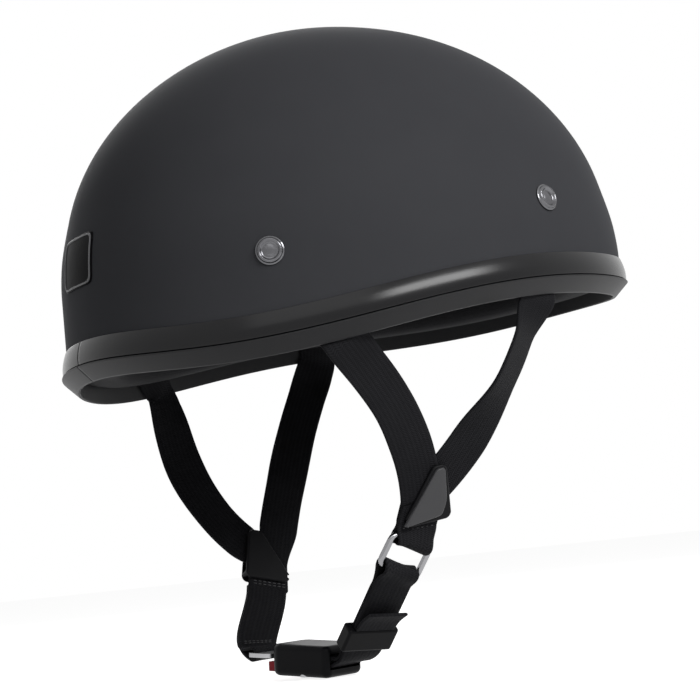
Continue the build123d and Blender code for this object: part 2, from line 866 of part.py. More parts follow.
def build_buckle_screws():
    solids = []
    for y in (-1, 1):
        at = Pos(screw_x, y * (tongue_wide / 2 + screw_inset / 1.4))
        foot = -buckle_tall / 2 + screw_head_tall
        long = buckle_tall * 0.75 - screw_head_tall
        shank = at * Pos(0, 0, foot + long / 2) * Cylinder(screw_radius - fit_gap / 4, long)
        head = at * Pos(0, 0, foot - screw_head_tall / 2) * Cylinder(screw_head_radius - fit_gap / 2, screw_head_tall)
        slot = at * Pos(0, 0, foot - screw_head_tall) * Box(
            2 * screw_head_radius * 0.8, screw_head_tall / 2, screw_head_tall
        )
        solids.append((buckle_plane * (shank + head - slot)).solid())
    return Compound(solids)


def build_anchor_pin():
    pin = Cylinder(pin_radius - fit_gap / 4, buckle_wide - 2 * buckle_wall - fit_gap)
    return buckle_plane * (Pos(pin_x, 0) * Rot(QUARTER, 0, 0) * pin)


def build_latch_leaf():
    """Spring leaf on its boss: a nib rises into the tongue's window, a toe hangs by the button."""
    start, rivet_x, end = leaf_places()
    top = -tongue_play / 3
    leaf = Pos((start + end) / 2, 0, top - leaf_thick / 2) * Box(end - start, leaf_wide, leaf_thick)
    nib_x = window_x()
    nib_top = tongue_rise + tongue_thick / 2
    nib_long = tongue_window - 4 * tongue_play
    ramp = make_face(
        Polyline(
            (nib_x - nib_long / 2, top),
            (nib_x - nib_long / 2, nib_top - tongue_play),
            (nib_x - nib_long / 4, nib_top - tongue_play),
            (nib_x + nib_long / 2, top),
            close=True,
        )
    )
    nib = extrude(Plane.XZ * ramp, amount=(tongue_window - 4 * tongue_play) / 2, both=True)
    toe_x = half_long - button_in - tongue_play - leaf_thick / 2
    toe = Pos(toe_x, 0, top - leaf_nib / 3) * Box(leaf_thick, leaf_wide, leaf_nib * 2 / 3)
    hole = Pos(rivet_x, 0, 0) * Cylinder(leaf_rivet_radius, 4 * leaf_nib)
    return buckle_plane * (leaf + nib + toe - hole)


def build_leaf_rivet():
    start, rivet_x, end = leaf_places()
    long = leaf_nib
    shank = Pos(rivet_x, 0, -long / 2) * Cylinder(leaf_rivet_radius - fit_gap / 4, long)
    head = Pos(rivet_x, 0, leaf_thick / 2) * Cylinder(leaf_rivet_radius * 1.5, leaf_thick)
    return buckle_plane * (shank + head)


def window_x():
    """Middle of the tongue's window along the buckle."""
    return half_long - tongue_in + tongue_window


def build_tongue():
    """Steel tongue: a narrow blade with a window, a wide head with the strap slot."""
    inner = half_long - tongue_in
    outer = half_long + tongue_out
    shoulder = half_long + 2 * fit_gap
    blade = Pos((inner + shoulder) / 2, 0) * Rectangle(shoulder - inner, tongue_wide)
    blade = fillet(blade.vertices().sort_by(Axis.X)[:2], tongue_wide / 5)
    head = Pos((shoulder + outer) / 2, 0) * Rectangle(outer - shoulder, tongue_head_wide)
    head = fillet(head.vertices(), tongue_slot)
    window = Pos(window_x(), 0) * Rectangle(tongue_window, tongue_window)
    slot_x = outer - tongue_bar - tongue_slot / 2
    slot = Pos(slot_x, 0) * Rectangle(tongue_slot, strap_width + 3 * tongue_play)
    plate = extrude(blade + head - window - slot, amount=tongue_thick)
    plate = Pos(0, 0, tongue_rise - tongue_thick / 2) * plate
    return buckle_plane * plate


def build_button():
    long = button_in + button_out
    body = Box(long, button_wide, button_tall)
    ends = body.edges().sort_by(Axis.X)[-4:]
    body = fillet(ends, button_tall / 4)
    return buckle_plane * (Pos(half_long + button_out - long / 2, 0, button_rise) * body)


def tongue_bar_at():
    x = half_long + tongue_out - tongue_bar / 2
    return buckle_at + buckle_dir * x + buckle_up * tongue_rise


def build_left_chin_strap():
    """Doubled strap from the tongue's bar up to the bend under the left guide."""
    start = tongue_bar_at()
    hinge, down, out = hang_frame(1)
    guide_x = guide_plane(1, left_guide_y, left_guide_drop, left_guide_turn).x_dir
    hole = math.hypot(tongue_bar, tongue_thick) / 2 + strap_play
    up = square_to(down * -1, guide_x)
    span = (left_bend - start).length

    def place(share):
        a = 2 * share ** 3 - 3 * share ** 2 + 1
        b = share ** 3 - 2 * share ** 2 + share
        c = -2 * share ** 3 + 3 * share ** 2
        d = share ** 3 - share ** 2
        return start * a + buckle_dir * (b * span) + left_bend * c + up * (d * span)

    stations = []
    for share in chin_shares:
        travel = (place(share + step_share) - place(share - step_share)).normalized()
        width = square_to(buckle_width_dir * (1 - share) + guide_x * share, travel)
        thick = doubled if share > 0 else loop_thick(hole)
        stations.append((place(share), width, travel, strap_width, thick))
    neck = webbing(stations[:2])
    strap = neck + webbing(stations[1:])
    strap = strap + bar_cylinder(left_bend, guide_x, doubled / 2, strap_width)
    strap = strap + bar_cylinder(start, buckle_width_dir, hole + strap_thick, strap_width)
    return strap - bar_cylinder(start, buckle_width_dir, hole, 2 * strap_width)


def build_left_stub():
    start, wide_dir, travel = guide_mouth(1, left_guide_y, left_guide_drop, left_guide_turn)
    length = (left_bend - start).dot(travel) - doubled / 2 - bend_gap
    stations = [
        (start, wide_dir, travel, strap_width, doubled),
        (start + travel * length, wide_dir, travel, strap_width, doubled),
    ]
    return webbing(stations)


# Free legs: side, name, rim place, end place in the guide, bow, twist and layer
rear_in_guide = guide_width * guide_rear_share
front_in_guide = -guide_width * guide_front_share
right_guide = (right_guide_y, right_guide_drop, right_guide_turn)
left_guide = (left_guide_y, left_guide_drop, left_guide_turn)
legs = (
    (-1, "right_rear_strap", right_guide, rear_exit_y, rear_exit_z, right_guide_y + rear_in_guide,
     right_guide_drop - leg_end_rise, right_rear_bow, rear_twist, leg_layer),
    (-1, "right_front_strap", right_guide, front_exit_y, front_exit_z, right_guide_y + front_in_guide,
     right_guide_drop - leg_end_rise, right_front_bow, front_twist, -leg_layer),
    (1, "left_rear_strap", left_guide, rear_exit_y, rear_exit_z, left_guide_y + rear_in_guide,
     left_guide_drop - leg_end_rise, left_rear_bow, rear_twist, leg_layer),
    (1, "left_front_strap", left_guide, front_exit_y, front_exit_z, left_guide_y + front_in_guide,
     left_guide_drop - leg_end_rise, left_front_bow, front_twist, -leg_layer),
)

makers = [
    ("outer_shell", build_shell, ()),
    ("edge_trim", build_trim, ()),
    ("impact_liner", build_liner, ()),
    ("comfort_lining", build_lining, ()),
    ("crown_pad", build_crown_pad, ()),
    ("brow_pad", build_brow_pad, ()),
    ("nape_pad", build_nape_pad, ()),
    ("right_side_pad", build_side_pad, (-1,)),
    ("left_side_pad", build_side_pad, (1,)),
    ("strap_rivets", build_rivets, ()),
    ("rivet_washers", build_washers, ()),
    ("right_strap_guide", build_guide, (-1,) + right_guide),
    ("left_strap_guide", build_guide, (1,) + left_guide),
    ("right_loop_strap", build_right_loop, ()),
    ("left_loop_strap", build_left_stub, ()),
    ("wire_ring", build_ring, ()),
    ("right_chin_strap", build_right_chin_strap, ()),
    ("left_chin_strap", build_left_chin_strap, ()),
    ("strap_slider", build_slider, ()),
    ("strap_tail", build_strap_tail, ()),
    ("buckle_base", build_buckle_half, (False,)),
    ("buckle_cover", build_buckle_half, (True,)),
    ("buckle_screws", build_buckle_screws, ()),
    ("anchor_pin", build_anchor_pin, ()),
    ("latch_leaf", build_latch_leaf, ()),
    ("leaf_rivet", build_leaf_rivet, ()),
    ("buckle_tongue", build_tongue, ()),
    ("release_button", build_button, ()),
]
for side, side_name in sides:
    for run in runs:
        makers.append((side_name + "_" + run[0] + "_anchor_strap", build_inner_strap, (side, run)))
for side, name, *route in legs:
    makers.append((name, build_leg, (side, *route)))

os.makedirs("parts", exist_ok=True)
for name, maker, values in makers:
    part = maker(*values)
    part.label = name
    export_step(part, "parts/" + name + ".step")
    print(name, "volume", round(part.volume, 1), "solids", len(part.solids()))


def show(name, vector):
    print(name, [round(value, 2) for value in vector])


show("ring pivot", ring_pivot)
show("left bend", left_bend)
show("tongue direction", buckle_dir)
show("slider direction", chin_dir * -1)
show("buckle centre", buckle_at)
show("slider centre", slider_at)
show("buckle up", buckle_up)
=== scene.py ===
# %% [markdown]
# # A half shell motorcycle helmet
#
# This lesson builds the looks of a matt black half shell helmet: its dome, the
# soft moulding round its edge, the padded lining, the webbing harness with two
# moulded guides, the wire ring, the slider and the quick release buckle.
#
# All sizes are metres. +Z is up, the front of the helmet looks to -Y and the
# wearer's left is +X. The origin is the centre of the head space. The solids of
# the same helmet are loaded first. Each piece made here takes the place of some
# of them, or lies on them. All but the harness legs and the left chin strap move
# with the body that they ride on.

# %% Tools and the frame
import math
import bmesh
import bpy
import numpy as np
from mathutils import Matrix, Vector


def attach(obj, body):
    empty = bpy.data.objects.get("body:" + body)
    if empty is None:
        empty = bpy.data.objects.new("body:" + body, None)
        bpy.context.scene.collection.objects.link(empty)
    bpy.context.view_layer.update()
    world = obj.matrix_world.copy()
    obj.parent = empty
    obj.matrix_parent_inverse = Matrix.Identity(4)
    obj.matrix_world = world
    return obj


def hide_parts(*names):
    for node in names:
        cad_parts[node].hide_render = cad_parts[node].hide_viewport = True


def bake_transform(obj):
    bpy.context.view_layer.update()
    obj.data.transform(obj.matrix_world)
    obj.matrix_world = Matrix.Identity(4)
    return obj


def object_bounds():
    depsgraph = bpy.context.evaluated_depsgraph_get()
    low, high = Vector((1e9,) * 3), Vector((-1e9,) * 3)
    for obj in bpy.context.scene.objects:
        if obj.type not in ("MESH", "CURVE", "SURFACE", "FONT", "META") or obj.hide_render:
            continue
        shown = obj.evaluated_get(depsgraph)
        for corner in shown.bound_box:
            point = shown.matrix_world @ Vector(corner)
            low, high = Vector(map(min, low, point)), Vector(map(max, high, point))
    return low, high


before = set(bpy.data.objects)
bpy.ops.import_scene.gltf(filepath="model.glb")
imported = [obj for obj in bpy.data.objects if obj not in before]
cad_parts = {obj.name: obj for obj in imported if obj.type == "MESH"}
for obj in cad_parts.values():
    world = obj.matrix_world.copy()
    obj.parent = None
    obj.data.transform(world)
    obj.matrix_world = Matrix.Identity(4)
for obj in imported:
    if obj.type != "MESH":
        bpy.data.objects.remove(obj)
cad_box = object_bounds()
print(len(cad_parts), "solid nodes, lowest point at", round(cad_box[0][2], 4))

# %% [markdown]
# ## The dome as a formula
# The shell of such a helmet is moulded in one piece: a rounded dome over a
# nearly upright skirt that flares a little at the rim. It could be sculpted, or
# spun from a profile, but a spun dome is round in plan and this one is longer
# than wide. So the wall is a function of two parameters: from above it is a
# superellipse, from the side a quarter ellipse over the skirt. The same function
# with an inset gives every layer inside, so the moulding, straps, lining and
# pads lie at true distances from one another.

# %% Sizes of the shell
shell_half_width = 0.1125
shell_front = 0.136
shell_rear = 0.1405
shell_height = 0.113
shell_wall = 0.0035
plan_power = 2.12
rim_flare = 0.003
flare_top = 0.024
flare_low = 0.012
quarter_turn = math.pi / 2
print("shell length over the widest line:", round(shell_front + shell_rear, 4))


# %% The wall
def eased(share):
    """3 t^2 - 2 t^3 of a share kept between 0 and 1: a step without corners."""
    share = np.clip(share, 0, 1)
    return share * share * (3 - 2 * share)


def plan_radius(angle, inset):
    """Distance from the axis to the wall at an angle, 0 at +X and a quarter turn at the rear.

    A superellipse: (|cos| / half width)^p + (|sin| / half length)^p, to the power -1/p."""
    sine = np.sin(angle)
    middle = (shell_front + shell_rear) / 2
    half_length = middle + (shell_rear - shell_front) / 2 * sine - inset
    side = (np.abs(np.cos(angle)) / (shell_half_width - inset)) ** plan_power
    end = (np.abs(sine) / half_length) ** plan_power
    return (side + end) ** (-1 / plan_power)


def wall_point(angle, reach, inset):
    """Points on the wall: reach is 0 at the crown, 1 at the widest line, more below it.

    Height is the cosine and radius the sine of reach in quarter turns, plus the flare."""
    angle, reach, inset = np.broadcast_arrays(angle, reach, inset)
    height = shell_height - inset
    sweep_angle = np.minimum(reach, 1) * quarter_turn
    below = np.maximum(reach - 1, 0) * height * quarter_turn
    z = np.where(reach <= 1, height * np.cos(sweep_angle), -below)
    flare = rim_flare * eased((flare_top - z) / (flare_top + flare_low))
    radius = plan_radius(angle, inset) * np.sin(sweep_angle) + flare
    return np.stack((radius * np.cos(angle), radius * np.sin(angle), z), axis=-1)


def wall_reach(z, inset):
    """The reach at which the wall has this height: wall_point's height, solved for reach."""
    height = shell_height - np.asarray(inset)
    above = np.arccos(np.clip(z / height, 0, 1)) / quarter_turn
    return np.where(np.asarray(z) >= 0, above, 1 - z / (height * quarter_turn))


print("widest point of the wall:", wall_point(0.0, 1.0, 0.0).round(4))

# %% [markdown]
# ## The rim line
# The rim rises from the nape to the brow in one long wave. A curve object could
# trace it, but the moulding, the straps and the lining all need its height at
# any place, so it is a polynomial through five depths under the origin, at even
# places from front to rear.

# %% The rim line
rim_depths = (0.0228, 0.0283, 0.0352, 0.0479, 0.0498)
rim_searches = 12


def rim_height(y):
    """Height of the rim line: each depth times a weight, 1 at its own place and 0 at the others."""
    half = (shell_front + shell_rear) / 2
    share = (np.asarray(y) - (shell_rear - shell_front) / 2) / half
    places = np.linspace(-1, 1, len(rim_depths))
    height = 0 * share
    for here, depth in zip(places, rim_depths):
        others = places[places != here]
        weight = np.prod((share[..., None] - others) / (here - others), axis=-1)
        height = height - depth * weight
    return height


def rim_reach(angle, inset, rise):
    """The reach at which the wall meets a line this far above the rim, by repeated substitution."""
    z = np.full(np.shape(angle), -rim_depths[2])
    for search in range(rim_searches):
        point = wall_point(angle, wall_reach(z, inset), inset)
        z = rim_height(point[..., 1]) + rise
    return wall_reach(z, inset)


print("rim height, front and rear:", rim_height(np.array((-shell_front, shell_rear))).round(4))


# %% [markdown]
# ## Standing on the wall
# Plate, rivets and pads sit square to a wall that tilts from place to place.
# Turning each by hand would be guesswork. Two small steps on the formula give
# the direction along and the direction up at any point, and their cross product
# points straight out.

# %% Places and directions on the wall
wall_step = 0.001
halvings = 40


def unit(vector):
    """Each vector divided by its length."""
    return vector / np.linalg.norm(vector, axis=-1, keepdims=True)


def wall_plane(angle, z, inset):
    """Point, direction along, direction up and direction out of the wall.

    Along is the small step in angle; out is its cross product with the small step in reach."""
    reach = wall_reach(z, inset)
    here = wall_point(angle, reach, inset)
    along = unit(wall_point(angle + wall_step, reach, inset) - here)
    up = wall_point(angle, reach - wall_step, inset) - here
    out = unit(np.cross(along, up))
    return here, along, np.cross(out, along), out


def side_angle(y, z, inset, side):
    """The angle at which the wall passes a side-view place, right (-1) or left (1), by halving."""
    low, high = -quarter_turn, quarter_turn
    for halving in range(halvings):
        middle = (low + high) / 2
        if wall_point(middle, wall_reach(z, inset), inset)[1] < y:
            low = middle
        else:
            high = middle
    return middle if side > 0 else math.pi - middle


def full_turn(count):
    """This many even angles round a full turn."""
    return np.linspace(0, 2 * math.pi, count + 1)[:-1]


print("outward at the rear:", wall_plane(quarter_turn, 0.0, 0.0)[3].round(3))

# %% [markdown]
# ## From arrays to meshes
# Blender's own primitives would need to be bent to the dome point by point.
# Almost every piece here is a grid instead: rows of one section, one row after
# another, worked out as a whole array. The mesh's faces follow from the grid's
# numbering, and its uv is kept in metres so that a weave has its real size.

# %% A grid of points as an object
def new_object(name, mesh):
    """An object at the origin, unturned, for a smooth mesh."""
    mesh.update()
    mesh.shade_smooth()
    obj = bpy.data.objects.new(name, mesh)
    bpy.context.scene.collection.objects.link(obj)
    return obj


def grid_object(name, rows, close_row=False, close_rows=False, uv=None, caps=None):
    """An object from a grid of points: point (i, j), (i, j+1), (i+1, j+1), (i+1, j) make a face.

    close_row joins the ends of each row, close_rows the first and last row; caps is both or last."""
    count, width = rows.shape[:2]
    mesh = bpy.data.meshes.new(name)
    index = np.arange(count * width).reshape(count, width)
    across = np.arange(width if close_row else width - 1)
    down = np.arange(count if close_rows else count - 1)
    i, j = np.meshgrid(down, across, indexing="ij")
    i2 = (i + 1) % count
    j2 = (j + 1) % width
    quads = np.stack((index[i, j], index[i, j2], index[i2, j2], index[i2, j]), axis=-1)
    faces = quads.reshape(-1, 4).tolist()
    if caps == "both":
        faces.append(index[0][::-1].tolist())
    if caps in ("both", "last"):
        faces.append(index[-1].tolist())
    mesh.from_pydata(rows.reshape(-1, 3).tolist(), [], faces)
    if uv is not None:
        layer = mesh.uv_layers.new(name="UVMap")
        corners = np.empty(len(mesh.loops), dtype=np.int32)
        mesh.loops.foreach_get("vertex_index", corners)
        layer.data.foreach_set("uv", uv.reshape(-1, 2)[corners].ravel())
    mesh.validate()
    return new_object(name, mesh)


# %% [markdown]
# Faces made from formulas can point either way, so each mesh has its normals
# recalculated while it is a single skin, before any modifier gives it a wall. A
# finished piece is then dressed: material, body and the solids it stands for,
# always in the same order. Printing its size shows slips at once.

# %% Cleaning, measuring and dressing a piece
def clean(obj, merge=None):
    """Turns all faces outwards; with merge, first joins points that are this near and fills holes."""
    work = bmesh.new()
    work.from_mesh(obj.data)
    if merge:
        bmesh.ops.remove_doubles(work, verts=work.verts, dist=merge)
        bmesh.ops.holes_fill(work, edges=[e for e in work.edges if e.is_boundary], sides=0)
    bmesh.ops.recalc_face_normals(work, faces=work.faces)
    work.to_mesh(obj.data)
    work.free()


def tell(piece):
    """Prints a piece's name, its number of faces and the sides of its box in millimetres."""
    spots = np.empty(3 * len(piece.data.vertices), dtype=np.float32)
    piece.data.vertices.foreach_get("co", spots)
    size = (np.ptp(spots.reshape(-1, 3), axis=0) * 1000).round(1)
    print(piece.name, len(piece.data.polygons), "faces,", *size, "mm")


def dress(obj, material, body, slot_name, *nodes):
    """Gives a piece its material, its body and the nodes it stands for; its finish slot, slot_name, is not
    used.
    """
    obj.data.materials.append(material)
    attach(obj, body)
    if nodes:
        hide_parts(*nodes)
    return obj


# %% [markdown]
# ## Paint, plastic and metal
# No real finish is one flat colour: its tone and its sheen wander a little over
# a few centimetres, and it has a fine grain. Pictures could carry this, but
# noise at real scale needs none and holds at any distance. One recipe serves
# all hard parts, and only its colours, roughness and grain differ.

# %% Noise, range and tint
def new_material(name):
    """A material with its node tree and its shader."""
    material = bpy.data.materials.new(name)
    material.use_nodes = True
    tree = material.node_tree
    return material, tree, tree.nodes["Principled BSDF"]


def noise(tree, scale, detail=2.0):
    """Noise over the piece's own coordinates: scale is features per metre."""
    place = tree.nodes.new("ShaderNodeTexCoord")
    texture = tree.nodes.new("ShaderNodeTexNoise")
    texture.inputs["Scale"].default_value = scale
    texture.inputs["Detail"].default_value = detail
    tree.links.new(place.outputs["Object"], texture.inputs["Vector"])
    return texture.outputs["Fac"]


def mapped(tree, value, low, high):
    """low + (high - low) x value, for a value from 0 to 1."""
    node = tree.nodes.new("ShaderNodeMapRange")
    node.inputs["To Min"].default_value = low
    node.inputs["To Max"].default_value = high
    tree.links.new(value, node.inputs["Value"])
    return node.outputs["Result"]


def tinted(tree, value, dark, light):
    """A colour between dark and light, by a 0 to 1 value."""
    node = tree.nodes.new("ShaderNodeMix")
    node.data_type = "RGBA"
    node.inputs["A"].default_value = (*dark, 1)
    node.inputs["B"].default_value = (*light, 1)
    tree.links.new(value, node.inputs["Factor"])
    return node.outputs["Result"]


print("materials in the solids:", len(bpy.data.materials))

# %% One recipe for hard finishes
mottle_scale = 35


def relief(tree, shader, height, depth, below=None):
    """Tilts the shading by a height pattern of this depth in metres, over another relief below it."""
    bump = tree.nodes.new("ShaderNodeBump")
    bump.inputs["Distance"].default_value = depth
    bump.inputs["Strength"].default_value = 1.0
    tree.links.new(height, bump.inputs["Height"])
    if below is not None:
        tree.links.new(below, bump.inputs["Normal"])
    tree.links.new(bump.outputs["Normal"], shader.inputs["Normal"])
    return bump.outputs["Normal"]


def moulded(name, dark, light, rough, grain, depth, metallic=0.0, specular=0.5):
    """A moulded, painted or metal surface: mottled colour and sheen over a fine grain.

    rough is the lowest and highest roughness, grain the features per metre."""
    material, tree, shader = new_material(name)
    mottle = noise(tree, mottle_scale)
    fine = noise(tree, grain, detail=3)
    tree.links.new(tinted(tree, mottle, dark, light), shader.inputs["Base Color"])
    tree.links.new(mapped(tree, mottle, *rough), shader.inputs["Roughness"])
    shader.inputs["Metallic"].default_value = metallic
    shader.inputs["Specular IOR Level"].default_value = specular
    relief(tree, shader, fine, depth)
    return material


print("tone wanders over", round(1000 / mottle_scale), "mm")

# %% [markdown]
# ## Shell
# A dome made of rings has a pole at the crown, where faces crowd and the light
# shows it. Here a square grid of points is pressed into a disc and laid on the
# wall formula, so the crown is as even as the rest. The grid's border is the
# shell's cut edge, tucked into the moulding. A Solidify modifier gives the wall,
# inwards only, because the formula is the outer face. Matt paint drinks nearly
# all gloss, so its specular level is close to none.

# %% Shell
shell_steps = 181
shell_tuck = 0.0015
fit_gap = 0.0002
shell_paint = moulded(
    "shell_paint", (0.050, 0.051, 0.056), (0.056, 0.057, 0.062), (0.50, 0.56), 2600, 0.00002, specular=0.01)


def disc_grid(steps):
    """Angle and distance of a square grid pressed into a disc: x = u sqrt(1 - v^2/2), y alike."""
    line = np.linspace(-1, 1, steps)
    u, v = np.meshgrid(line, line)
    x = u * np.sqrt(1 - v * v / 2)
    y = v * np.sqrt(1 - u * u / 2)
    return np.arctan2(y, x), np.hypot(x, y)


def build_shell():
    """The wall, from the crown to a line that lies below the rim by the tuck."""
    angle, far = disc_grid(shell_steps)
    edge = rim_reach(angle, 0.0, -shell_tuck)
    shell = grid_object("shell", wall_point(angle, far * edge, 0.0))
    clean(shell)
    wall = shell.modifiers.new("wall", "SOLIDIFY")
    wall.thickness = shell_wall - 2 * fit_gap
    wall.offset = -1
    return dress(shell, shell_paint, "helmet", "shell_paint", "outer_shell")


tell(build_shell())

# %% [markdown]
# ## Rear plate
# A bare plate with a thin raised frame sits on the rear. A flat box would stand
# off the curved wall, so the plate is drawn in rings from its middle, and every
# ring lies on the wall at its own height. Its outline is a rounded rectangle: a
# superellipse of high power. The rings of the frame get a second material.

# %% Rear plate
plate_wide = 0.0332
plate_high = 0.0246
plate_z = -0.0016
plate_power = 9
# share of the way out, height over the wall
plate_rings = (
    (0.02, 0.0006), (0.3, 0.0006), (0.6, 0.0006), (0.85, 0.0006), (0.885, 0.0006), (0.89, 0.0009),
    (0.905, 0.00098), (0.925, 0.00098), (0.94, 0.0009), (0.945, 0.0006), (0.985, 0.0006),
    (1.0, 0.00045), (1.0, -0.0003),
)
frame_rings = (4, 9)
plate_turns = 160
plate_gloss = moulded(
    "plate_gloss", (0.004, 0.004, 0.005), (0.007, 0.007, 0.008), (0.22, 0.30), 1200, 0.00001, specular=0.01)
plate_line = moulded(
    "plate_line", (0.12, 0.12, 0.125), (0.20, 0.20, 0.21), (0.40, 0.50), 1500, 0.00001, specular=0.2)


def build_plate():
    """Rings of x = half width x share x corner x cos, y alike with sin, laid on the wall."""
    here, along, up = wall_plane(quarter_turn, plate_z, 0.0)[:3]
    turns = full_turn(plate_turns)
    corner = np.abs(np.cos(turns)) ** plate_power + np.abs(np.sin(turns)) ** plate_power
    corner = corner ** (-1 / plate_power)
    share, height = np.array(plate_rings).T[..., None]
    x = plate_wide / 2 * share * corner * np.cos(turns)
    y = plate_high / 2 * share * corner * np.sin(turns)
    flat = here + along * x[..., None] + up * y[..., None]
    spread = np.arctan2(flat[..., 1], flat[..., 0])
    rows = wall_point(spread, wall_reach(flat[..., 2], -height), -height)
    plate = grid_object("rear_plate", rows, close_row=True, caps="both")
    clean(plate)
    dress(plate, plate_gloss, "helmet", "shell_paint")
    plate.data.materials.append(plate_line)
    slots = np.zeros(len(plate.data.polygons), dtype=np.int32)
    first, end = frame_rings
    slots[first * len(turns):end * len(turns)] = 1
    plate.data.polygons.foreach_set("material_index", slots)
    return plate


tell(build_plate())

# %% [markdown]
# ## Strap rivets
# Four rivets hold the straps. A real one is turned and then spread with a tool:
# a dished head with a raised ring on a thin flange, the shank, and a tail that
# is spread against a washer inside. A Screw modifier would do, but its axis has
# to be an object's axis. So the profile is carried round the wall's own outward
# direction, which tilts each rivet with the wall.

# %% Strap rivets
rear_rivet = (0.091, -0.014)
front_rivet = (-0.045, 0.007)
rivet_turns = 64
# radius and height over the wall
rivet_profile = (
    (0.00005, 0.00130), (0.0012, 0.00132), (0.0020, 0.00118), (0.0028, 0.00096), (0.0034, 0.00094),
    (0.0038, 0.00124), (0.0042, 0.00176), (0.0046, 0.00204), (0.0050, 0.00198), (0.0054, 0.00160),
    (0.0056, 0.00104), (0.0057, 0.00080), (0.0062, 0.00074), (0.0064, 0.00052), (0.0063, 0.00006),
    (0.0024, 0.00004), (0.0024, -0.0085), (0.0042, -0.0086), (0.0042, -0.0091), (0.0036, -0.0096),
    (0.00005, -0.0097),
)
rivet_metal = moulded(
    "rivet_metal", (0.05, 0.05, 0.055), (0.20, 0.20, 0.21), (0.16, 0.28), 700, 0.00015, metallic=1.0)


def build_rivet(name, side, y, z):
    """Centre + radius x (along cos + up sin) + height x out, for each point of the profile."""
    here, along, up, out = wall_plane(side_angle(y, z, 0.0, side), z, 0.0)
    turns = full_turn(rivet_turns)[:, None]
    spoke = along * np.cos(turns) + up * np.sin(turns)
    radius, height = np.array(rivet_profile).T[..., None, None]
    rivet = grid_object(name, here + spoke * radius + out * height, close_row=True, caps="both")
    clean(rivet)
    return dress(rivet, rivet_metal, "helmet", "rivet_steel", "strap_rivets")


for side, side_name in ((-1, "right"), (1, "left")):
    tell(build_rivet(side_name + "_rear_rivet", side, *rear_rivet))
    tell(build_rivet(side_name + "_front_rivet", side, *front_rivet))

# %% [markdown]
# ## Edge moulding
# A soft channel is pushed over the shell's cut edge: outside a crowned band, a
# groove and a fat bead that leans in, inside a thin lip. Its two ends butt at
# the nape. A curve with a bevel object could carry the section, but it twists
# where the rim turns. Here the section stands in the plane across the rim, and
# its axes are the wall's own up and out directions. The band is satin and the
# bead matt, so the faces below the groove get a second material.

# %% Sizes of the edge moulding
trim_band = 0.011
trim_band_edge = 0.0008
trim_band_proud = 0.0024
trim_groove = 0.0008
trim_bead = 0.0075
trim_bead_proud = 0.0034
trim_bead_lean = 0.0072
trim_lip = 0.0014
trim_lip_height = 0.008
trim_seam = 0.0004
trim_steps = 721
trim_toe = trim_bead_proud - trim_bead_lean
liner_inset = shell_wall + fit_gap
lip_inset = liner_inset + trim_lip
trim_satin = moulded(
    "trim_satin", (0.004, 0.004, 0.005), (0.007, 0.007, 0.008), (0.18, 0.24), 1800, 0.00001, specular=0.24)
trim_matt = moulded(
    "trim_matt", (0.020, 0.020, 0.021), (0.028, 0.028, 0.030), (0.42, 0.52), 1600, 0.00004, specular=0.15)
print("moulding height:", trim_band + trim_bead)


# %% Frames along the rim
rim_step = 0.0015


def rim_frames(angles):
    """Points of the rim line on the shell's outer face, with out and up directions.

    Travel is the difference of two near points of the rim; out is travel x up."""
    reach = rim_reach(angles, 0.0, 0.0)
    here = wall_point(angles, reach, 0.0)
    ahead = wall_point(angles + rim_step, rim_reach(angles + rim_step, 0.0, 0.0), 0.0)
    behind = wall_point(angles - rim_step, rim_reach(angles - rim_step, 0.0, 0.0), 0.0)
    travel = unit(ahead - behind)
    up = unit(wall_point(angles, reach - rim_step, 0.0) - wall_point(angles, reach + rim_step, 0.0))
    out = unit(np.cross(travel, up))
    return here, out, np.cross(out, travel)


print("up at the brow:", rim_frames(np.array((-quarter_turn,)))[2].round(3))


# %% Section of the edge moulding
def rounded(points, reaches, steps=6):
    """A closed outline with each corner rounded by its own reach.

    The bend is (1-s)^2 start + 2 s (1-s) corner + s^2 end."""
    outline = []
    count = len(points)
    for k in range(count):
        corner = np.array(points[k])
        back = np.array(points[k - 1]) - corner
        ahead = np.array(points[(k + 1) % count]) - corner
        reach = min(reaches[k], np.linalg.norm(back) / 2, np.linalg.norm(ahead) / 2)
        start = corner + unit(back) * reach
        end = corner + unit(ahead) * reach
        s = np.linspace(0, 1, steps if reaches[k] else 1)[:, None]
        outline.append((1 - s) ** 2 * start + 2 * s * (1 - s) * corner + s * s * end)
    return np.vstack(outline)


# corner (outwards, upwards) from the rim point, and the reach of its rounding
trim_outline = (
    ((fit_gap, trim_band - 0.0004), 0.0),
    ((trim_band_edge * 0.7, trim_band), 0.0006),
    ((trim_band_edge + 0.0009, trim_band * 0.72), 0.0040),
    ((trim_band_proud + 0.0001, trim_band * 0.36), 0.0040),
    ((trim_band_proud, trim_groove / 2), 0.0012),
    ((trim_band_proud - trim_groove, 0.0), 0.0002),
    ((trim_bead_proud, -trim_groove / 2), 0.0014),
    ((trim_toe, -trim_bead), 0.0030),
    ((-lip_inset, -trim_bead), 0.0012),
    ((-lip_inset, trim_lip_height), 0.0004),
    ((-liner_inset, trim_lip_height), 0.0004),
    ((-liner_inset, -shell_tuck - fit_gap), 0.0),
    ((fit_gap, -shell_tuck - fit_gap), 0.0),
)
trim_section = rounded([corner for corner, reach in trim_outline], [reach for corner, reach in trim_outline])
print("points in the section:", len(trim_section))


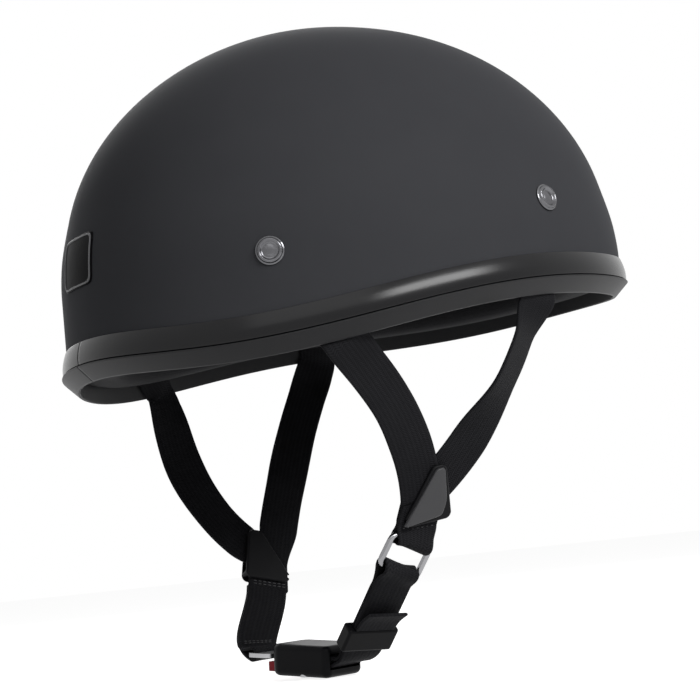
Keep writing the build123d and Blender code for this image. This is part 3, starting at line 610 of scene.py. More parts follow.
# %% Edge moulding
def build_trim():
    """Rim point + out x section's first + up x its second column, from seam to seam."""
    gap = trim_seam / 3 / shell_rear
    angles = np.linspace(quarter_turn + gap, quarter_turn + 2 * math.pi - gap, trim_steps)
    here, out, up = rim_frames(angles)
    rows = here[:, None] + out[:, None] * trim_section[:, :1] + up[:, None] * trim_section[:, 1:]
    trim = grid_object("edge_moulding", rows, close_row=True, caps="both")
    clean(trim)
    dress(trim, trim_satin, "helmet", "trim_rubber", "edge_trim")
    trim.data.materials.append(trim_matt)
    faces = np.arange(len(trim.data.polygons))
    slots = (trim_section[faces % len(trim_section), 1] < 0).astype(np.int32)
    trim.data.polygons.foreach_set("material_index", slots)
    return trim


tell(build_trim())

# %% [markdown]
# ## Cloth finishes
# Lining and pads are covered with a knitted mesh, and webbing is woven. The
# threads are too many to model, so each pattern is two waves over the piece's
# uv, which is in metres: a relief as deep as a thread, over a tone that is worn
# unevenly. On the webbing the waves set the tone as well, darker between the
# ribs and lighter on them: painted shade and highlight. A picture of cloth would
# repeat and blur.

# %% Knitted cloth
def math_node(tree, operation, first, second=None, clamp=False):
    """One arithmetic step on sockets or numbers."""
    node = tree.nodes.new("ShaderNodeMath")
    node.operation = operation
    node.use_clamp = clamp
    for slot, value in enumerate((first, second)):
        if value is None:
            continue
        if isinstance(value, (int, float)):
            node.inputs[slot].default_value = value
        else:
            tree.links.new(value, node.inputs[slot])
    return node.outputs["Value"]


def uv_metres(tree):
    """The two columns of the uv map, in metres."""
    place = tree.nodes.new("ShaderNodeUVMap")
    split = tree.nodes.new("ShaderNodeSeparateXYZ")
    tree.links.new(place.outputs["UV"], split.inputs["Vector"])
    return split.outputs["X"], split.outputs["Y"]


def cloth(name, dark, light, thread, depth):
    """Knitted cloth: the sum of two triangle waves with the thread's pitch."""
    material, tree, shader = new_material(name)
    u, v = [math_node(tree, "PINGPONG", math_node(tree, "MULTIPLY", side, 1 / thread), 0.5)
            for side in uv_metres(tree)]
    worn = noise(tree, 40, detail=3)
    tree.links.new(tinted(tree, worn, dark, light), shader.inputs["Base Color"])
    shader.inputs["Roughness"].default_value = 0.85
    shader.inputs["Specular IOR Level"].default_value = 0.1
    shader.inputs["Sheen Weight"].default_value = 0.02
    relief(tree, shader, math_node(tree, "ADD", u, v), depth)
    return material


lining_cloth = cloth("lining_cloth", (0.014, 0.014, 0.015), (0.024, 0.024, 0.026), 0.0011, 0.0002)
pad_cloth = cloth("pad_cloth", (0.020, 0.020, 0.022), (0.032, 0.032, 0.034), 0.0014, 0.0003)
print("knitted:", lining_cloth.name, pad_cloth.name)

# %% [markdown]
# ## Lining
# The lining is one cloth: it is glued under the foam's edge, folds inwards and
# climbs to the crown, stretched over the foam. A cloth simulation would find
# the same shape, because the cloth has no slack, so it is laid on the wall
# formula: a short path under the edge, then the inner wall up to the crown. Its
# uv is in metres: along the path, and round a circle of the shell's half width.

# %% Rows of the lining
# inset from the shell's face, rise above the rim line
lining_path = (
    (0.0060, 0.0026), (0.0075, 0.0012), (0.0110, 0.0004), (0.0160, 0.0000), (0.0205, 0.0004),
    (0.0235, 0.0014), (0.0252, 0.0034), (0.0258, 0.0062), (0.0260, 0.0100),
)
lining_thick = 0.0008
crown_reach = 0.002
climb_rings = 48
lining_turns = 360


def lining_rows(turns):
    """The path's rings, then rings whose reach goes evenly from the path's end to the crown."""
    inset, rise = np.array(lining_path).T[..., None]
    every = np.broadcast_to(turns, (len(lining_path), len(turns)))
    folded = wall_point(every, rim_reach(every, inset, rise), inset)
    last_inset, last_rise = lining_path[-1]
    low = rim_reach(turns, last_inset, last_rise)
    share = np.linspace(0, 1, climb_rings + 2)[1:-1, None]
    climbed = wall_point(turns, low * (1 - share) + crown_reach * share, last_inset)
    return np.vstack((folded, climbed))


print("rings in the lining:", len(lining_path) + climb_rings)


# %% Lining
def build_lining():
    """The rows as a closed cap, with the cloth's thickness as a modifier."""
    turns = full_turn(lining_turns)
    rows = lining_rows(turns)
    steps = np.linalg.norm(np.diff(rows, axis=0), axis=2).mean(axis=1)
    along = np.concatenate(((0,), np.cumsum(steps)))
    around = np.linspace(0, 2 * math.pi * shell_half_width, len(turns))
    uv = np.stack(np.broadcast_arrays(around[None, :], along[:, None]), axis=-1)
    lining = grid_object("lining", rows, close_row=True, uv=uv, caps="last")
    clean(lining)
    cloth_wall = lining.modifiers.new("cloth", "SOLIDIFY")
    cloth_wall.thickness = lining_thick
    cloth_wall.offset = 1
    dress(lining, lining_cloth, "helmet", "lining_cloth", "comfort_lining")
    return lining


tell(build_lining())

# %% [markdown]
# ## Comfort pads
# Each pad is soft foam in a cloth cover with sewn channels: thick in the middle,
# drawn in at its edge. A simulation of filled cloth could give such a cushion.
# Here the crown and the channels are a formula instead, because a pad is glued
# to a curved lining and its back has to follow it exactly.

# %% Crown pad
liner_wall = 0.019
lining_wall = 0.0025
pad_gap = 0.0003
pad_thick = 0.007
pad_crown = pad_thick - 0.0008
pad_front = 0.0002
pad_back = 0.0001
rib_pitch = 0.0045
pad_outer = liner_inset + liner_wall + 2 * pad_gap + lining_wall
crown_inner, crown_outer = 0.015, 0.0335
crown_rib = 0.0003
crown_rings = 40
crown_turns = 120


def build_crown_pad():
    """A ring: radius = middle + half width x cos, lift = sin^0.6 x crown, plus ribs by cos of radius."""
    turns = full_turn(crown_turns)
    around = 2 * math.pi * np.arange(crown_rings)[:, None] / crown_rings
    radius = (crown_inner + crown_outer) / 2 + (crown_outer - crown_inner) / 2 * np.cos(around)
    lift = np.maximum(0, np.sin(around)) ** 0.6 * pad_crown
    ribs = np.where(lift > 0, crown_rib * np.cos(2 * math.pi * radius / rib_pitch), 0)
    depth = pad_outer + pad_front + lift + ribs
    reach = np.arcsin(radius / plan_radius(turns, depth)) / quarter_turn
    uv = np.stack((radius * np.cos(turns), radius * np.sin(turns)), axis=-1)
    rows = wall_point(turns, reach, depth)
    pad = grid_object("crown_cushion", rows, close_row=True, close_rows=True, uv=uv)
    clean(pad)
    dress(pad, pad_cloth, "helmet", "pad_cloth", "crown_pad")
    return pad


tell(build_crown_pad())

# %% Brow, nape and side pads
pad_high = 0.015
pad_pole = 0.02
pad_rib = 0.00035
pad_merge = 0.00002
pad_turns = 96
pad_front_rings = 22
pad_back_rings = 12
brow_turn = math.radians(27)
nape_turn = math.radians(16)
side_turn = math.radians(8)
# name, angle on the wall, height, half width, the node it stands for
pads = (
    ("brow_cushion_right", -quarter_turn - brow_turn, 0.002, 0.018, "brow_pad"),
    ("brow_cushion_middle", -quarter_turn, 0.002, 0.018, "brow_pad"),
    ("brow_cushion_left", -quarter_turn + brow_turn, 0.002, 0.018, "brow_pad"),
    ("nape_cushion_right", quarter_turn + nape_turn, -0.024, 0.019, "nape_pad"),
    ("nape_cushion_left", quarter_turn - nape_turn, -0.024, 0.019, "nape_pad"),
    ("side_cushion_right", math.pi - side_turn, -0.006, 0.025, "right_side_pad"),
    ("side_cushion_left", side_turn, -0.006, 0.025, "left_side_pad"),
)


def build_pad(name, angle, z, half_wide, node):
    """An oval cushion: front depth = gap + crown x sqrt(1 - share^4) + ribs x (1 - share^6)."""
    here, along, up = wall_plane(angle, z, pad_outer)[:3]
    turns = full_turn(pad_turns)
    front = np.linspace(1, pad_pole, pad_front_rings)
    back = np.linspace(pad_pole, 1, pad_back_rings)
    share = np.concatenate((front, back))[:, None]
    facing = (np.arange(len(share)) < len(front))[:, None]
    x = half_wide * share * np.cos(turns)
    y = pad_high * share * np.sin(turns)
    flat = here + along * x[..., None] + up * y[..., None]
    spread = np.arctan2(flat[..., 1], flat[..., 0])
    ribs = pad_rib * np.cos(2 * math.pi * y / rib_pitch) * (1 - share ** 6)
    lifted = pad_outer + pad_front + pad_crown * np.sqrt(1 - share ** 4) + ribs
    depth = np.where(facing, lifted, pad_outer + pad_back)
    rows = wall_point(spread, wall_reach(flat[..., 2], depth), depth)
    pad = grid_object(name, rows, close_row=True, uv=np.stack((x, y), axis=-1))
    clean(pad, merge=pad_merge)
    pad.data.shade_smooth()
    dress(pad, pad_cloth, "helmet", "pad_cloth", node)
    return pad


for pad_row in pads:
    tell(build_pad(*pad_row))

# %% [markdown]
# ## Webbing
# Webbing is woven flat with round selvedges, and its yarns run in slanting ribs
# between fine columns. The strap's section is an outline with round ends, and
# the weave is a relief: a zigzag across the strap, added to the ribs along it,
# makes the chevrons. The same pattern, times a random wear, also sets the
# colour, dark between the ribs and light on them: painted shade and highlight.

# %% Woven finish
rib_share = 0.7
column_share = 0.6
webbing_rough = 0.62


def woven(name, dark, light, rib, column, depth):
    """Ribs of pitch rib along the strap, shifted by a triangle wave of pitch column across it."""
    material, tree, shader = new_material(name)
    u, v = uv_metres(tree)
    across = math_node(tree, "MULTIPLY", u, 1 / column)
    along = math_node(tree, "MULTIPLY", v, 1 / rib)
    slanted = math_node(tree, "ADD", along, math_node(tree, "PINGPONG", across, 1))
    yarn = math_node(tree, "MULTIPLY", math_node(tree, "PINGPONG", slanted, 0.5), 2)
    columns = math_node(tree, "PINGPONG", across, 0.5)
    ribbed = math_node(tree, "MULTIPLY", yarn, rib_share)
    weave = math_node(tree, "ADD", ribbed, math_node(tree, "MULTIPLY", columns, column_share))
    worn = noise(tree, 60, detail=3)
    fuzz = noise(tree, 2600, detail=2)
    # Painted shade and highlight of the weave: colour dark between the ribs, light on them, times random
    # wear.
    shade = math_node(tree, "MULTIPLY", weave, math_node(tree, "ADD", worn, 0.35))
    tree.links.new(tinted(tree, shade, dark, light), shader.inputs["Base Color"])
    rough = mapped(tree, worn, webbing_rough - 0.1, webbing_rough + 0.1)
    tree.links.new(rough, shader.inputs["Roughness"])
    shader.inputs["Specular IOR Level"].default_value = 0.04
    below = relief(tree, shader, fuzz, depth / 6)
    relief(tree, shader, weave, depth, below=below)
    return material


webbing_cloth = woven("webbing_cloth", (0.006, 0.006, 0.007), (0.027, 0.027, 0.030), 0.0009, 0.0021, 0.00018)
print("woven:", webbing_cloth.name)

# %% Section of the webbing
strap_width = 0.021
strap_thick = 0.0015
strap_play = 0.0003
selvedge = strap_thick * 0.45
doubled = 2 * strap_thick + fit_gap


def webbing_section(edge_steps=5, flat_steps=10):
    """Half an outline, one flat face and one round edge; its negative is the other half."""
    half = strap_width / 2 - selvedge
    turns = quarter_turn - math.pi * np.arange(edge_steps + 1) / edge_steps
    round_edge = np.stack((half + selvedge * np.cos(turns), strap_thick / 2 * np.sin(turns)), axis=-1)
    across = np.linspace(-half, half, flat_steps + 1)[:-1]
    flat = np.stack((across, np.full(flat_steps, strap_thick / 2)), axis=-1)
    side = np.vstack((flat, round_edge))
    return np.vstack((side, -side[1:-1]))


print("points in the webbing's section:", len(webbing_section()))


# %% A strap along a path
def sweep(name, path, side_dirs, section, closed=False):
    """A section of (across, out) points carried along a path: point + across x first + out x second.

    Across is side_dirs made square to the travel, out is travel x across."""
    travel = np.gradient(path, axis=0)
    if closed:
        travel = np.roll(path, -1, axis=0) - np.roll(path, 1, axis=0)
    travel = unit(travel)
    across = unit(side_dirs - travel * np.sum(side_dirs * travel, axis=1, keepdims=True))
    out = np.cross(travel, across)
    if section.ndim == 2:
        section = np.broadcast_to(section, (len(path),) + section.shape)
    rows = path[:, None] + across[:, None] * section[..., :1] + out[:, None] * section[..., 1:]
    steps = np.linalg.norm(np.diff(path, axis=0), axis=1)
    along = np.concatenate(((0,), np.cumsum(steps)))
    uv = np.stack((section[..., 0], np.broadcast_to(along[:, None], section.shape[:2])), axis=-1)
    caps = None if closed else "both"
    obj = grid_object(name, rows, close_row=True, close_rows=closed, uv=uv, caps=caps)
    clean(obj)
    return obj


print("doubled webbing is", round(doubled, 4), "thick")

# %% [markdown]
# ## Harness legs
# Each leg is one strap. It starts at its rivet between shell and foam, comes out
# under the rim, twists as it hangs and ends in its guide. Modelled straight it
# would look like card, so its middle line bows sideways and its face turns from
# the wall's direction to the guide's.

# %% Where the legs hang
rim_hinge_x = 0.104
rim_hinge_z = -0.048
ring_pivot = np.array((-0.062, 0.017, -0.143))
left_bend = np.array((0.0605, 0.031, -0.159))
# place along y, drop under the hinge, turn in degrees
right_guide = (0.0145, 0.081, -9)
left_guide = (0.026, 0.103, 14)
y_axis = np.array((0.0, 1.0, 0.0))


def square_to(vector, axis):
    """The part of a vector that is square to an axis, at length one."""
    return unit(vector - axis * np.sum(vector * axis, axis=-1, keepdims=True))


def hang_frame(side):
    """A harness's hinge at the rim, with its directions down and out."""
    lowest = ring_pivot if side < 0 else left_bend
    hinge = np.array((side * rim_hinge_x, 0, rim_hinge_z))
    down = unit(np.array((lowest[0], 0, lowest[2])) - hinge)
    out = np.array((side * abs(down[2]), 0, -abs(down[0])))
    return hinge, down, out


print("right harness hangs along", hang_frame(-1)[1].round(3))

# %% A smooth line through points
smoothings = 4


def smooth_line(points, count):
    """Evenly spaced points on a smooth curve through these points, with their other columns.

    In each smoothing a new point is set halfway: 9/16 of its neighbours less 1/16 of the next ones."""
    points = np.asarray(points, dtype=float)
    for smoothing in range(smoothings):
        finer = np.empty((2 * len(points) - 1, points.shape[1]))
        finer[::2] = points
        ends = np.vstack((2 * points[0] - points[1], points, 2 * points[-1] - points[-2]))
        finer[1::2] = (9 * (points[:-1] + points[1:]) - ends[:-3] - ends[3:]) / 16
        points = finer
    steps = np.linalg.norm(np.diff(points[:, :3], axis=0), axis=1)
    along = np.concatenate(((0,), np.cumsum(steps)))
    places = np.linspace(0, along[-1], count)
    return np.stack([np.interp(places, along, column) for column in points.T], axis=1)


print("three corners smoothed to five points:", smooth_line(np.eye(3), 5).round(2).tolist())

# %% A leg between shell and foam
rear_exit_y = 0.062
front_exit_y = -0.036
strap_inset = lip_inset + strap_play + strap_thick / 2
exit_rise = -trim_bead - strap_play
anchor_shares = np.linspace(-0.22, 0.9, 8)


def anchor_rows(side, rivet, exit_y, exit_z):
    """Points and face directions on the inner wall, on a straight line in side view."""
    rows = []
    for share in anchor_shares:
        y = rivet[0] + (exit_y - rivet[0]) * share
        z = rivet[1] + (exit_z - rivet[1]) * share
        here, along, up, out = wall_plane(side_angle(y, z, strap_inset, side), z, strap_inset)
        rows.append(np.concatenate((here, out)))
    return rows


print("straps leave the rim at", round(float(rim_height(rear_exit_y) + exit_rise), 4))


# %% A leg below the rim
split_gap = 0.0009
bow_skew = 0.4
twist_shares = (0.2, 0.38, 0.75)
leg_end_rise = 0.0025
leg_layer = 0.0010
leg_belly = 0.0025
hang_share = 0.7
face_share = 0.4
hang_shares = np.linspace(0.0, 1.06, 26)
leg_points = 150
look_ahead = 0.01


def leg_path(side, rivet, exit_y, end_y, end_drop, bow, twist, layer):
    """Points and face directions of a whole strap, from its rivet to its guide.

    Below the rim it is start + straight x share + sideways bow 4 s (1-s) + eased offset outwards,
    and its face turns by the twist and back."""
    exit_z = rim_height(exit_y) + exit_rise
    rows = anchor_rows(side, rivet, exit_y, exit_z)
    start_z = exit_z - split_gap
    start_angle = side_angle(exit_y, start_z, strap_inset, side)
    start, along, up, wall_out = wall_plane(start_angle, start_z, strap_inset)
    hinge, down, out = hang_frame(side)
    start_off = np.dot(start - hinge, out)
    end = hinge + down * (end_drop - leg_end_rise) + y_axis * end_y + out * start_off
    straight = end - start
    side_dir = square_to(y_axis, unit(straight))

    def place(share):
        """Start + straight x share + bow sideways + offset outwards."""
        swell = 4 * share * (1 - share) * (1 + bow_skew * (2 * share - 1))
        ease = eased(share / hang_share)
        off = (layer * leg_layer - start_off) * ease + leg_belly * 4 * ease * (1 - ease)
        return start + straight * share + side_dir * (bow * swell) + out * off

    full, hold, flat = twist_shares
    for share in hang_shares:
        travel = unit(place(share + look_ahead) - place(share - look_ahead))
        blend = min(1, share / face_share)
        face = square_to(wall_out * (1 - blend) + out * blend, travel)
        turned = eased(share / full) - eased((share - hold) / (flat - hold))
        angle = math.radians(twist) * turned
        lean = np.cross(travel, face)
        turn = -1 if lean[1] > 0 else 1
        face = face * math.cos(angle) + lean * (math.sin(angle) * turn)
        rows.append(np.concatenate((place(share), face)))
    return smooth_line(rows, leg_points), start


print("places on a hanging leg:", len(hang_shares))

# %% Harness legs
guide_width = 0.027
rear_in_guide = guide_width * 0.075
front_in_guide = -guide_width * 0.185
left_drawn_in = 0.34
drawn_from = 0.88
# side, name, rivet, exit, guide and place in it, bow, twist in degrees, layer in the guide
harness_legs = (
    (-1, "right_rear", rear_rivet, rear_exit_y, right_guide, rear_in_guide, -0.0055, 8, 1),
    (-1, "right_front", front_rivet, front_exit_y, right_guide, front_in_guide, -0.006, 28, -1),
    (1, "left_rear", rear_rivet, rear_exit_y, left_guide, rear_in_guide, 0.011, 8, 1),
    (1, "left_front", front_rivet, front_exit_y, left_guide, front_in_guide, 0.0025, 28, -1),
)


def leg_section(side):
    """The webbing's section at each point; the left legs narrow as they enter their guide."""
    share = (np.linspace(0, 1, leg_points) - drawn_from) / (1 - drawn_from)
    drawn = 1 - (left_drawn_in if side > 0 else 0) * eased(share)
    return webbing_section() * np.stack((drawn, np.ones(leg_points)), axis=-1)[:, None]


def build_leg(side, name, rivet, exit_y, guide, shift, bow, twist, layer):
    """The section of webbing along the leg's line, across its face directions."""
    path, start = leg_path(side, rivet, exit_y, guide[0] + shift, guide[1], bow, twist, layer)
    centre = path[:, :3]
    across = np.cross(unit(path[:, 3:]), unit(np.gradient(centre, axis=0)))
    strap = sweep(name + "_webbing", centre, across, leg_section(side))
    strap.data.materials.append(webbing_cloth)
    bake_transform(strap)
    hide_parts(name + "_anchor_strap", name + "_strap")
    return strap


for leg in harness_legs:
    tell(build_leg(*leg))

# %% [markdown]
# ## Guide panels
# The strap guides are moulded plastic. The outer face of each carries a raised
# three-cornered panel with a dark step along its slanting edge. The panel is a
# light grey copy of the guide's dark plastic: a painted highlight that stands in
# for the key lamp's light on the guide's face. A boolean on the guide's mesh
# would roughen it, so the panel is its own piece: rings of a rounded outline
# drawn in towards its middle, low at the rim and flat on top.

# %% Guide panels
guide_thick = 0.0076
panel_rise = 0.0012
panel_corner_steps = 9
panel_corners = ((0.0075, -0.0108), (0.0104, -0.0040), (0.0096, 0.0124), (0.0052, 0.0124), (-0.0126, -0.0126))
panel_reaches = (0.0020, 0.0040, 0.0016, 0.0020, 0.0022)
# share of the way out, share of the rise
panel_rings = (
    (0.05, 1.0), (0.5, 1.0), (0.9, 1.0), (0.95, 0.96), (0.98, 0.8), (0.995, 0.5), (1.0, 0.0), (1.0, -0.4),
)
# Painted highlight: the panel's light grey stands in for the key lamp's light on the dark guide.
panel_painted_highlight = moulded(
    "panel_painted_highlight", (0.034, 0.034, 0.037), (0.042, 0.042, 0.045), (0.40, 0.50), 2200, 0.00004, specular=0.4)


def build_panel(name, side, y, drop, turn, body):
    """Middle + (outline - middle) x share in the guide's plane, + rise x share of the rise outwards."""
    hinge, down, out = hang_frame(side)
    angle = math.radians(turn)
    x_dir = (y_axis * math.cos(angle) - down * math.sin(angle)) * side
    y_dir = np.cross(out, x_dir)
    centre = hinge + down * drop + y_axis * y + out * guide_thick / 2
    outline = rounded(panel_corners, panel_reaches, steps=panel_corner_steps)
    middle = outline.mean(axis=0)
    share, lift = np.array(panel_rings).T[..., None, None]
    flat = middle + (outline - middle) * share
    rows = centre + x_dir * flat[..., :1] + y_dir * flat[..., 1:] + out * panel_rise * lift
    panel = grid_object(name, rows, close_row=True, caps="both")
    clean(panel)
    return dress(panel, panel_painted_highlight, body, "guide_plastic")


tell(build_panel("right_guide_panel", -1, *right_guide, "right_harness"))
tell(build_panel("left_guide_panel", 1, *left_guide, "left_harness"))

# %% [markdown]
# ## Ring and chin straps
# Under the right guide a loop of webbing holds a wire ring, and the doubled chin
# strap hangs from its lower bar and runs through the slider into the buckle. On
# the other side a stub and the left chin strap lead to the metal tongue. Every
# such strap is two layers that part round a bar. Two separate straps would
# never meet cleanly at the bar, so one path goes out on one face, round the bar
# and back on the other.

# %% Places of the ring, the slider and the buckle
ring_down = unit(np.array((0.37, 0.5, -1)))
ring_bar = square_to(unit(np.array((-0.0925, 1, -0.16))), ring_down)
ring_drop = 0.0145
ring_inner = 0.0225
ring_wire = 0.0015
ring_corner = 0.003
ring_foot = ring_pivot + ring_down * ring_drop
loop_play = 0.0007
ring_hole = ring_wire + loop_play
buckle_dir = unit(np.array((0.925, 0.365, 0.08)))
buckle_across = unit(np.array((-buckle_dir[1], buckle_dir[0], 0)))
buckle_up = np.cross(buckle_dir, buckle_across)
buckle_at = np.array((0.004, 0.0365, -0.1935))
buckle_half = 0.018
pin_inset = 0.0046
bar_hole = 0.0019
bend_lead = 0.0065
bend_at = buckle_at - buckle_dir * (buckle_half + bend_lead)
pin_at = buckle_at + buckle_dir * (pin_inset - buckle_half)
chin_dir = unit(bend_at - ring_foot)
chin_across = square_to(ring_bar, chin_dir)
slider_back = 0.0155
slider_at = bend_at - chin_dir * slider_back
print("chin strap from ring to bend:", np.linalg.norm(bend_at - ring_foot).round(4))


# %% The middle line of a strap
line_points = 120


def strap_line(stations):
    """Middle line of a strap through its stations: centre, across, travel, outward and length so far.

    stations are pairs of a point and an across direction."""
    line = smooth_line([np.concatenate(station) for station in stations], line_points)
    centre, across = line[:, :3], unit(line[:, 3:])
    travel = unit(np.gradient(centre, axis=0))
    steps = np.concatenate(((0,), np.cumsum(np.linalg.norm(np.diff(centre, axis=0), axis=1))))
    return centre, across, travel, np.cross(travel, across), steps


print("middle line of the chin strap starts at", ring_foot.round(4))

# %% A doubled strap
# length over which two layers part, in bar radii
parting = 4.2
bar_steps = 13


def half_turn(at, out, onward, radius):
    """Points at + radius x (out sin + onward cos), from the out side over onward to the other."""
    angles = np.linspace(quarter_turn, -quarter_turn, bar_steps)[1:-1, None]
    return at + (out * np.sin(angles) + onward * np.cos(angles)) * radius


def doubled_strap(name, stations, loops):
    """Two layers along a path, half a strap apart; near a bar the distance eases to its radius.

    loops are the bar radii at the two ends, or zeros."""
    centre, across, travel, out, steps = strap_line(stations)
    middle = (strap_thick + fit_gap) / 2
    offset = np.full(len(centre), middle)
    for radius, gap in ((loops[0], steps), (loops[1], steps[-1] - steps)):
        if radius:
            near = eased(1 - gap / (parting * radius))
            offset = np.maximum(offset, middle + (radius + strap_thick / 2 - middle) * near)
    path = [centre + out * offset[:, None]]
    side_dirs = [across]
    if loops[1]:
        path.append(half_turn(centre[-1], out[-1], travel[-1], loops[1] + strap_thick / 2))
        side_dirs.append(np.broadcast_to(across[-1], path[-1].shape))
    path.append((centre - out * offset[:, None])[::-1])
    side_dirs.append(across[::-1])
    if loops[0]:
        path.append(half_turn(centre[0], -out[0], -travel[0], loops[0] + strap_thick / 2))
        side_dirs.append(np.broadcast_to(across[0], path[-1].shape))
    return sweep(name, np.vstack(path), np.vstack(side_dirs), webbing_section(), closed=bool(loops[0]))


print("points in a turn round a bar:", bar_steps - 2)

# %% [markdown]
# ## Bar tacks
# Where a doubled strap has to hold, it is sewn across in dense rows. The thread
# could be a texture, but it stands off the cloth and catches the light, so each
# stitch is a small bead. All stitches of a tack are one mesh.

# %% Bar tacks
stitch_long = 0.0019
stitch_radius = 0.00026
stitch_rings = 7
stitch_turns = 8
stitch_places = np.linspace(-0.0078, 0.0078, 7)
tack_rows = np.array((0.0, 0.0015))
guide_height = 0.027
tack_drop = guide_height / 2 - leg_end_rise + 0.0007
thread_black = moulded(
    "thread_black", (0.040, 0.040, 0.043), (0.060, 0.060, 0.064), (0.50, 0.60), 3000, 0.00003)


def bar_tack(name, body, stations, distance):
    """Rows of stitches on both faces of a doubled strap, at a distance along it.

    A stitch's radius follows a half ellipse along its length: r sqrt(1 - share^2)."""
    centre, across, travel, out, steps = strap_line(stations)
    share = np.linspace(-1, 1, stitch_rings)
    turns = full_turn(stitch_turns)
    radius = stitch_radius * np.sqrt(1 - share ** 2) + stitch_radius / 20
    face, row, x = np.meshgrid((-1, 1), distance + tack_rows, stitch_places, indexing="ij")
    at = np.searchsorted(steps, row.ravel())
    lift = (face.ravel() * (doubled / 2 + stitch_radius / 3))[:, None]
    middle = centre[at] + out[at] * lift + across[at] * x.ravel()[:, None]
    spine = middle[:, None, None] + across[at][:, None, None] * share[:, None, None] * stitch_long / 2
    ring = out[at][:, None, None] * np.cos(turns)[:, None]
    ring = ring + travel[at][:, None, None] * np.sin(turns)[:, None]
    points = (spine + ring * radius[:, None, None]).reshape(-1, 3)
    index = np.arange(len(points)).reshape(len(at), len(share), len(turns))
    ahead = np.roll(index, -1, axis=2)
    quads = np.stack((index[:, :-1], ahead[:, :-1], ahead[:, 1:], index[:, 1:]), axis=-1)
    faces = quads.reshape(-1, 4).tolist() + index[:, 0, ::-1].tolist() + index[:, -1].tolist()
    mesh = bpy.data.meshes.new(name)
    mesh.from_pydata(points.tolist(), [], faces)
    stitches = new_object(name, mesh)
    clean(stitches)
    return dress(stitches, thread_black, body, "webbing")


print("stitches in a tack:", 2 * len(tack_rows) * len(stitch_places))


# %% [markdown]
# Under the right guide the loop turns as it hangs, because the ring's bar isn't
# square to the guide, and under the left one a short stub meets the chin strap.
# Both are doubled straps through two or three stations, each with its tack.

# %% Loop and stub under the guides
loop_middle = 0.55
stub_touch = 0.0004


def guide_mouth(side, y, drop, turn):
    """Where a strap leaves its guide, with its across and travel directions."""
    hinge, down = hang_frame(side)[:2]
    angle = math.radians(turn)
    across = y_axis * math.cos(angle) - down * math.sin(angle)
    travel = square_to(down, across)
    return hinge + down * drop + y_axis * y + travel * leg_end_rise, across, travel


def build_right_loop():
    """From the guide's mouth to the ring, turning from the guide's direction to the bar's."""
    start, across, travel = guide_mouth(-1, *right_guide)
    middle = start + (ring_pivot - start) * loop_middle
    stations = [(start, across), (middle, across), (ring_pivot, ring_bar)]
    strap = doubled_strap("right_loop_webbing", stations, (0, ring_hole))
    dress(strap, webbing_cloth, "right_harness", "webbing", "right_loop_strap")
    return strap, bar_tack("right_loop_stitching", "right_harness", stations, tack_drop)


def build_left_stub():
    """Straight down from the guide's mouth until it touches the left chin strap."""
    start, across, travel = guide_mouth(1, *left_guide)
    length = np.dot(left_bend - start, travel) + stub_touch
    stations = [(start + travel * length * share, across) for share in (0, 0.5, 1)]
    strap = doubled_strap("left_loop_webbing", stations, (0, 0))
    dress(strap, webbing_cloth, "left_harness", "webbing", "left_loop_strap")
    return strap, bar_tack("left_loop_stitching", "left_harness", stations, tack_drop)


for piece in (*build_right_loop(), *build_left_stub()):
    tell(piece)

# %% [markdown]
# ## Wire ring
# The ring is round wire bent to a rectangle with round corners, and plated. Its
# path is four quarter circles joined by straights, spaced evenly so that the
# tube's faces are all alike, and a circle is carried along it.

# %% Wire ring
corner_steps = 12
ring_points = 180
ring_turns = 24
chrome = moulded("chrome", (0.20, 0.20, 0.21), (0.34, 0.34, 0.35), (0.12, 0.20), 900, 0.00001, metallic=1.0)


def build_ring():
    """Corner centre + corner radius x (bar cos - down sin), a quarter turn at each corner."""
    wide = ring_inner + 2 * ring_wire
    centre = ring_pivot + ring_down * (ring_drop / 2)
    path = []
    for sx, sy, start in ((1, 1, 0), (-1, 1, 90), (-1, -1, 180), (1, -1, 270)):
        aside = ring_bar * sx * (wide / 2 - ring_corner)
        middle = centre + aside - ring_down * sy * (ring_drop / 2 - ring_corner)
        angle = np.radians(start + np.linspace(0, 90, corner_steps))[:, None]
        path.append(middle + (ring_bar * np.cos(angle) - ring_down * np.sin(angle)) * ring_corner)
    path = np.vstack((*path, path[0][:1]))
    steps = np.concatenate(((0,), np.cumsum(np.linalg.norm(np.diff(path, axis=0), axis=1))))
    places = np.linspace(0, steps[-1], ring_points + 1)[:-1]
    path = np.stack([np.interp(places, steps, column) for column in path.T], axis=1)
    normal = np.broadcast_to(np.cross(ring_bar, ring_down), path.shape)
    turns = full_turn(ring_turns)
    section = np.stack((np.cos(turns), np.sin(turns)), axis=1) * ring_wire
    ring = sweep("wire_loop", path, normal, section, closed=True)
    return dress(ring, chrome, "chin_strap", "ring_chrome", "wire_ring")


tell(build_ring())


# %% [markdown]
# ## Right chin strap
# This strap hangs from the ring, passes the slider flat, turns over a bend and
# ends round the anchor pin in the buckle. Every one of these places fixes where
# it is and how it lies, so it is a list of stations with a smooth line through
# them, and not a curve drawn by eye.

# %% Right chin strap
ring_lead = 0.008
slider_lead = 0.012


def build_right_chin():
    """From the ring's lower bar through the slider, over the bend and round the anchor pin."""
    bend_in = bend_at - chin_dir * bend_lead
    bend_out = bend_at + buckle_dir * bend_lead
    bend_mid = (bend_in + bend_at * 2 + bend_out) / 4
    stations = [
        (ring_foot, ring_bar),
        (ring_foot + chin_dir * ring_lead, unit(ring_bar + chin_across)),
        (slider_at - chin_dir * slider_lead, chin_across),
        (slider_at, chin_across),
        (bend_in, chin_across),
        (bend_mid, unit(chin_across + buckle_across)),
        (bend_out, buckle_across),
        (pin_at, buckle_across),
    ]
    strap = doubled_strap("right_chin_webbing", stations, (ring_hole, bar_hole))
    return dress(strap, webbing_cloth, "chin_strap", "webbing", "right_chin_strap")


tell(build_right_chin())

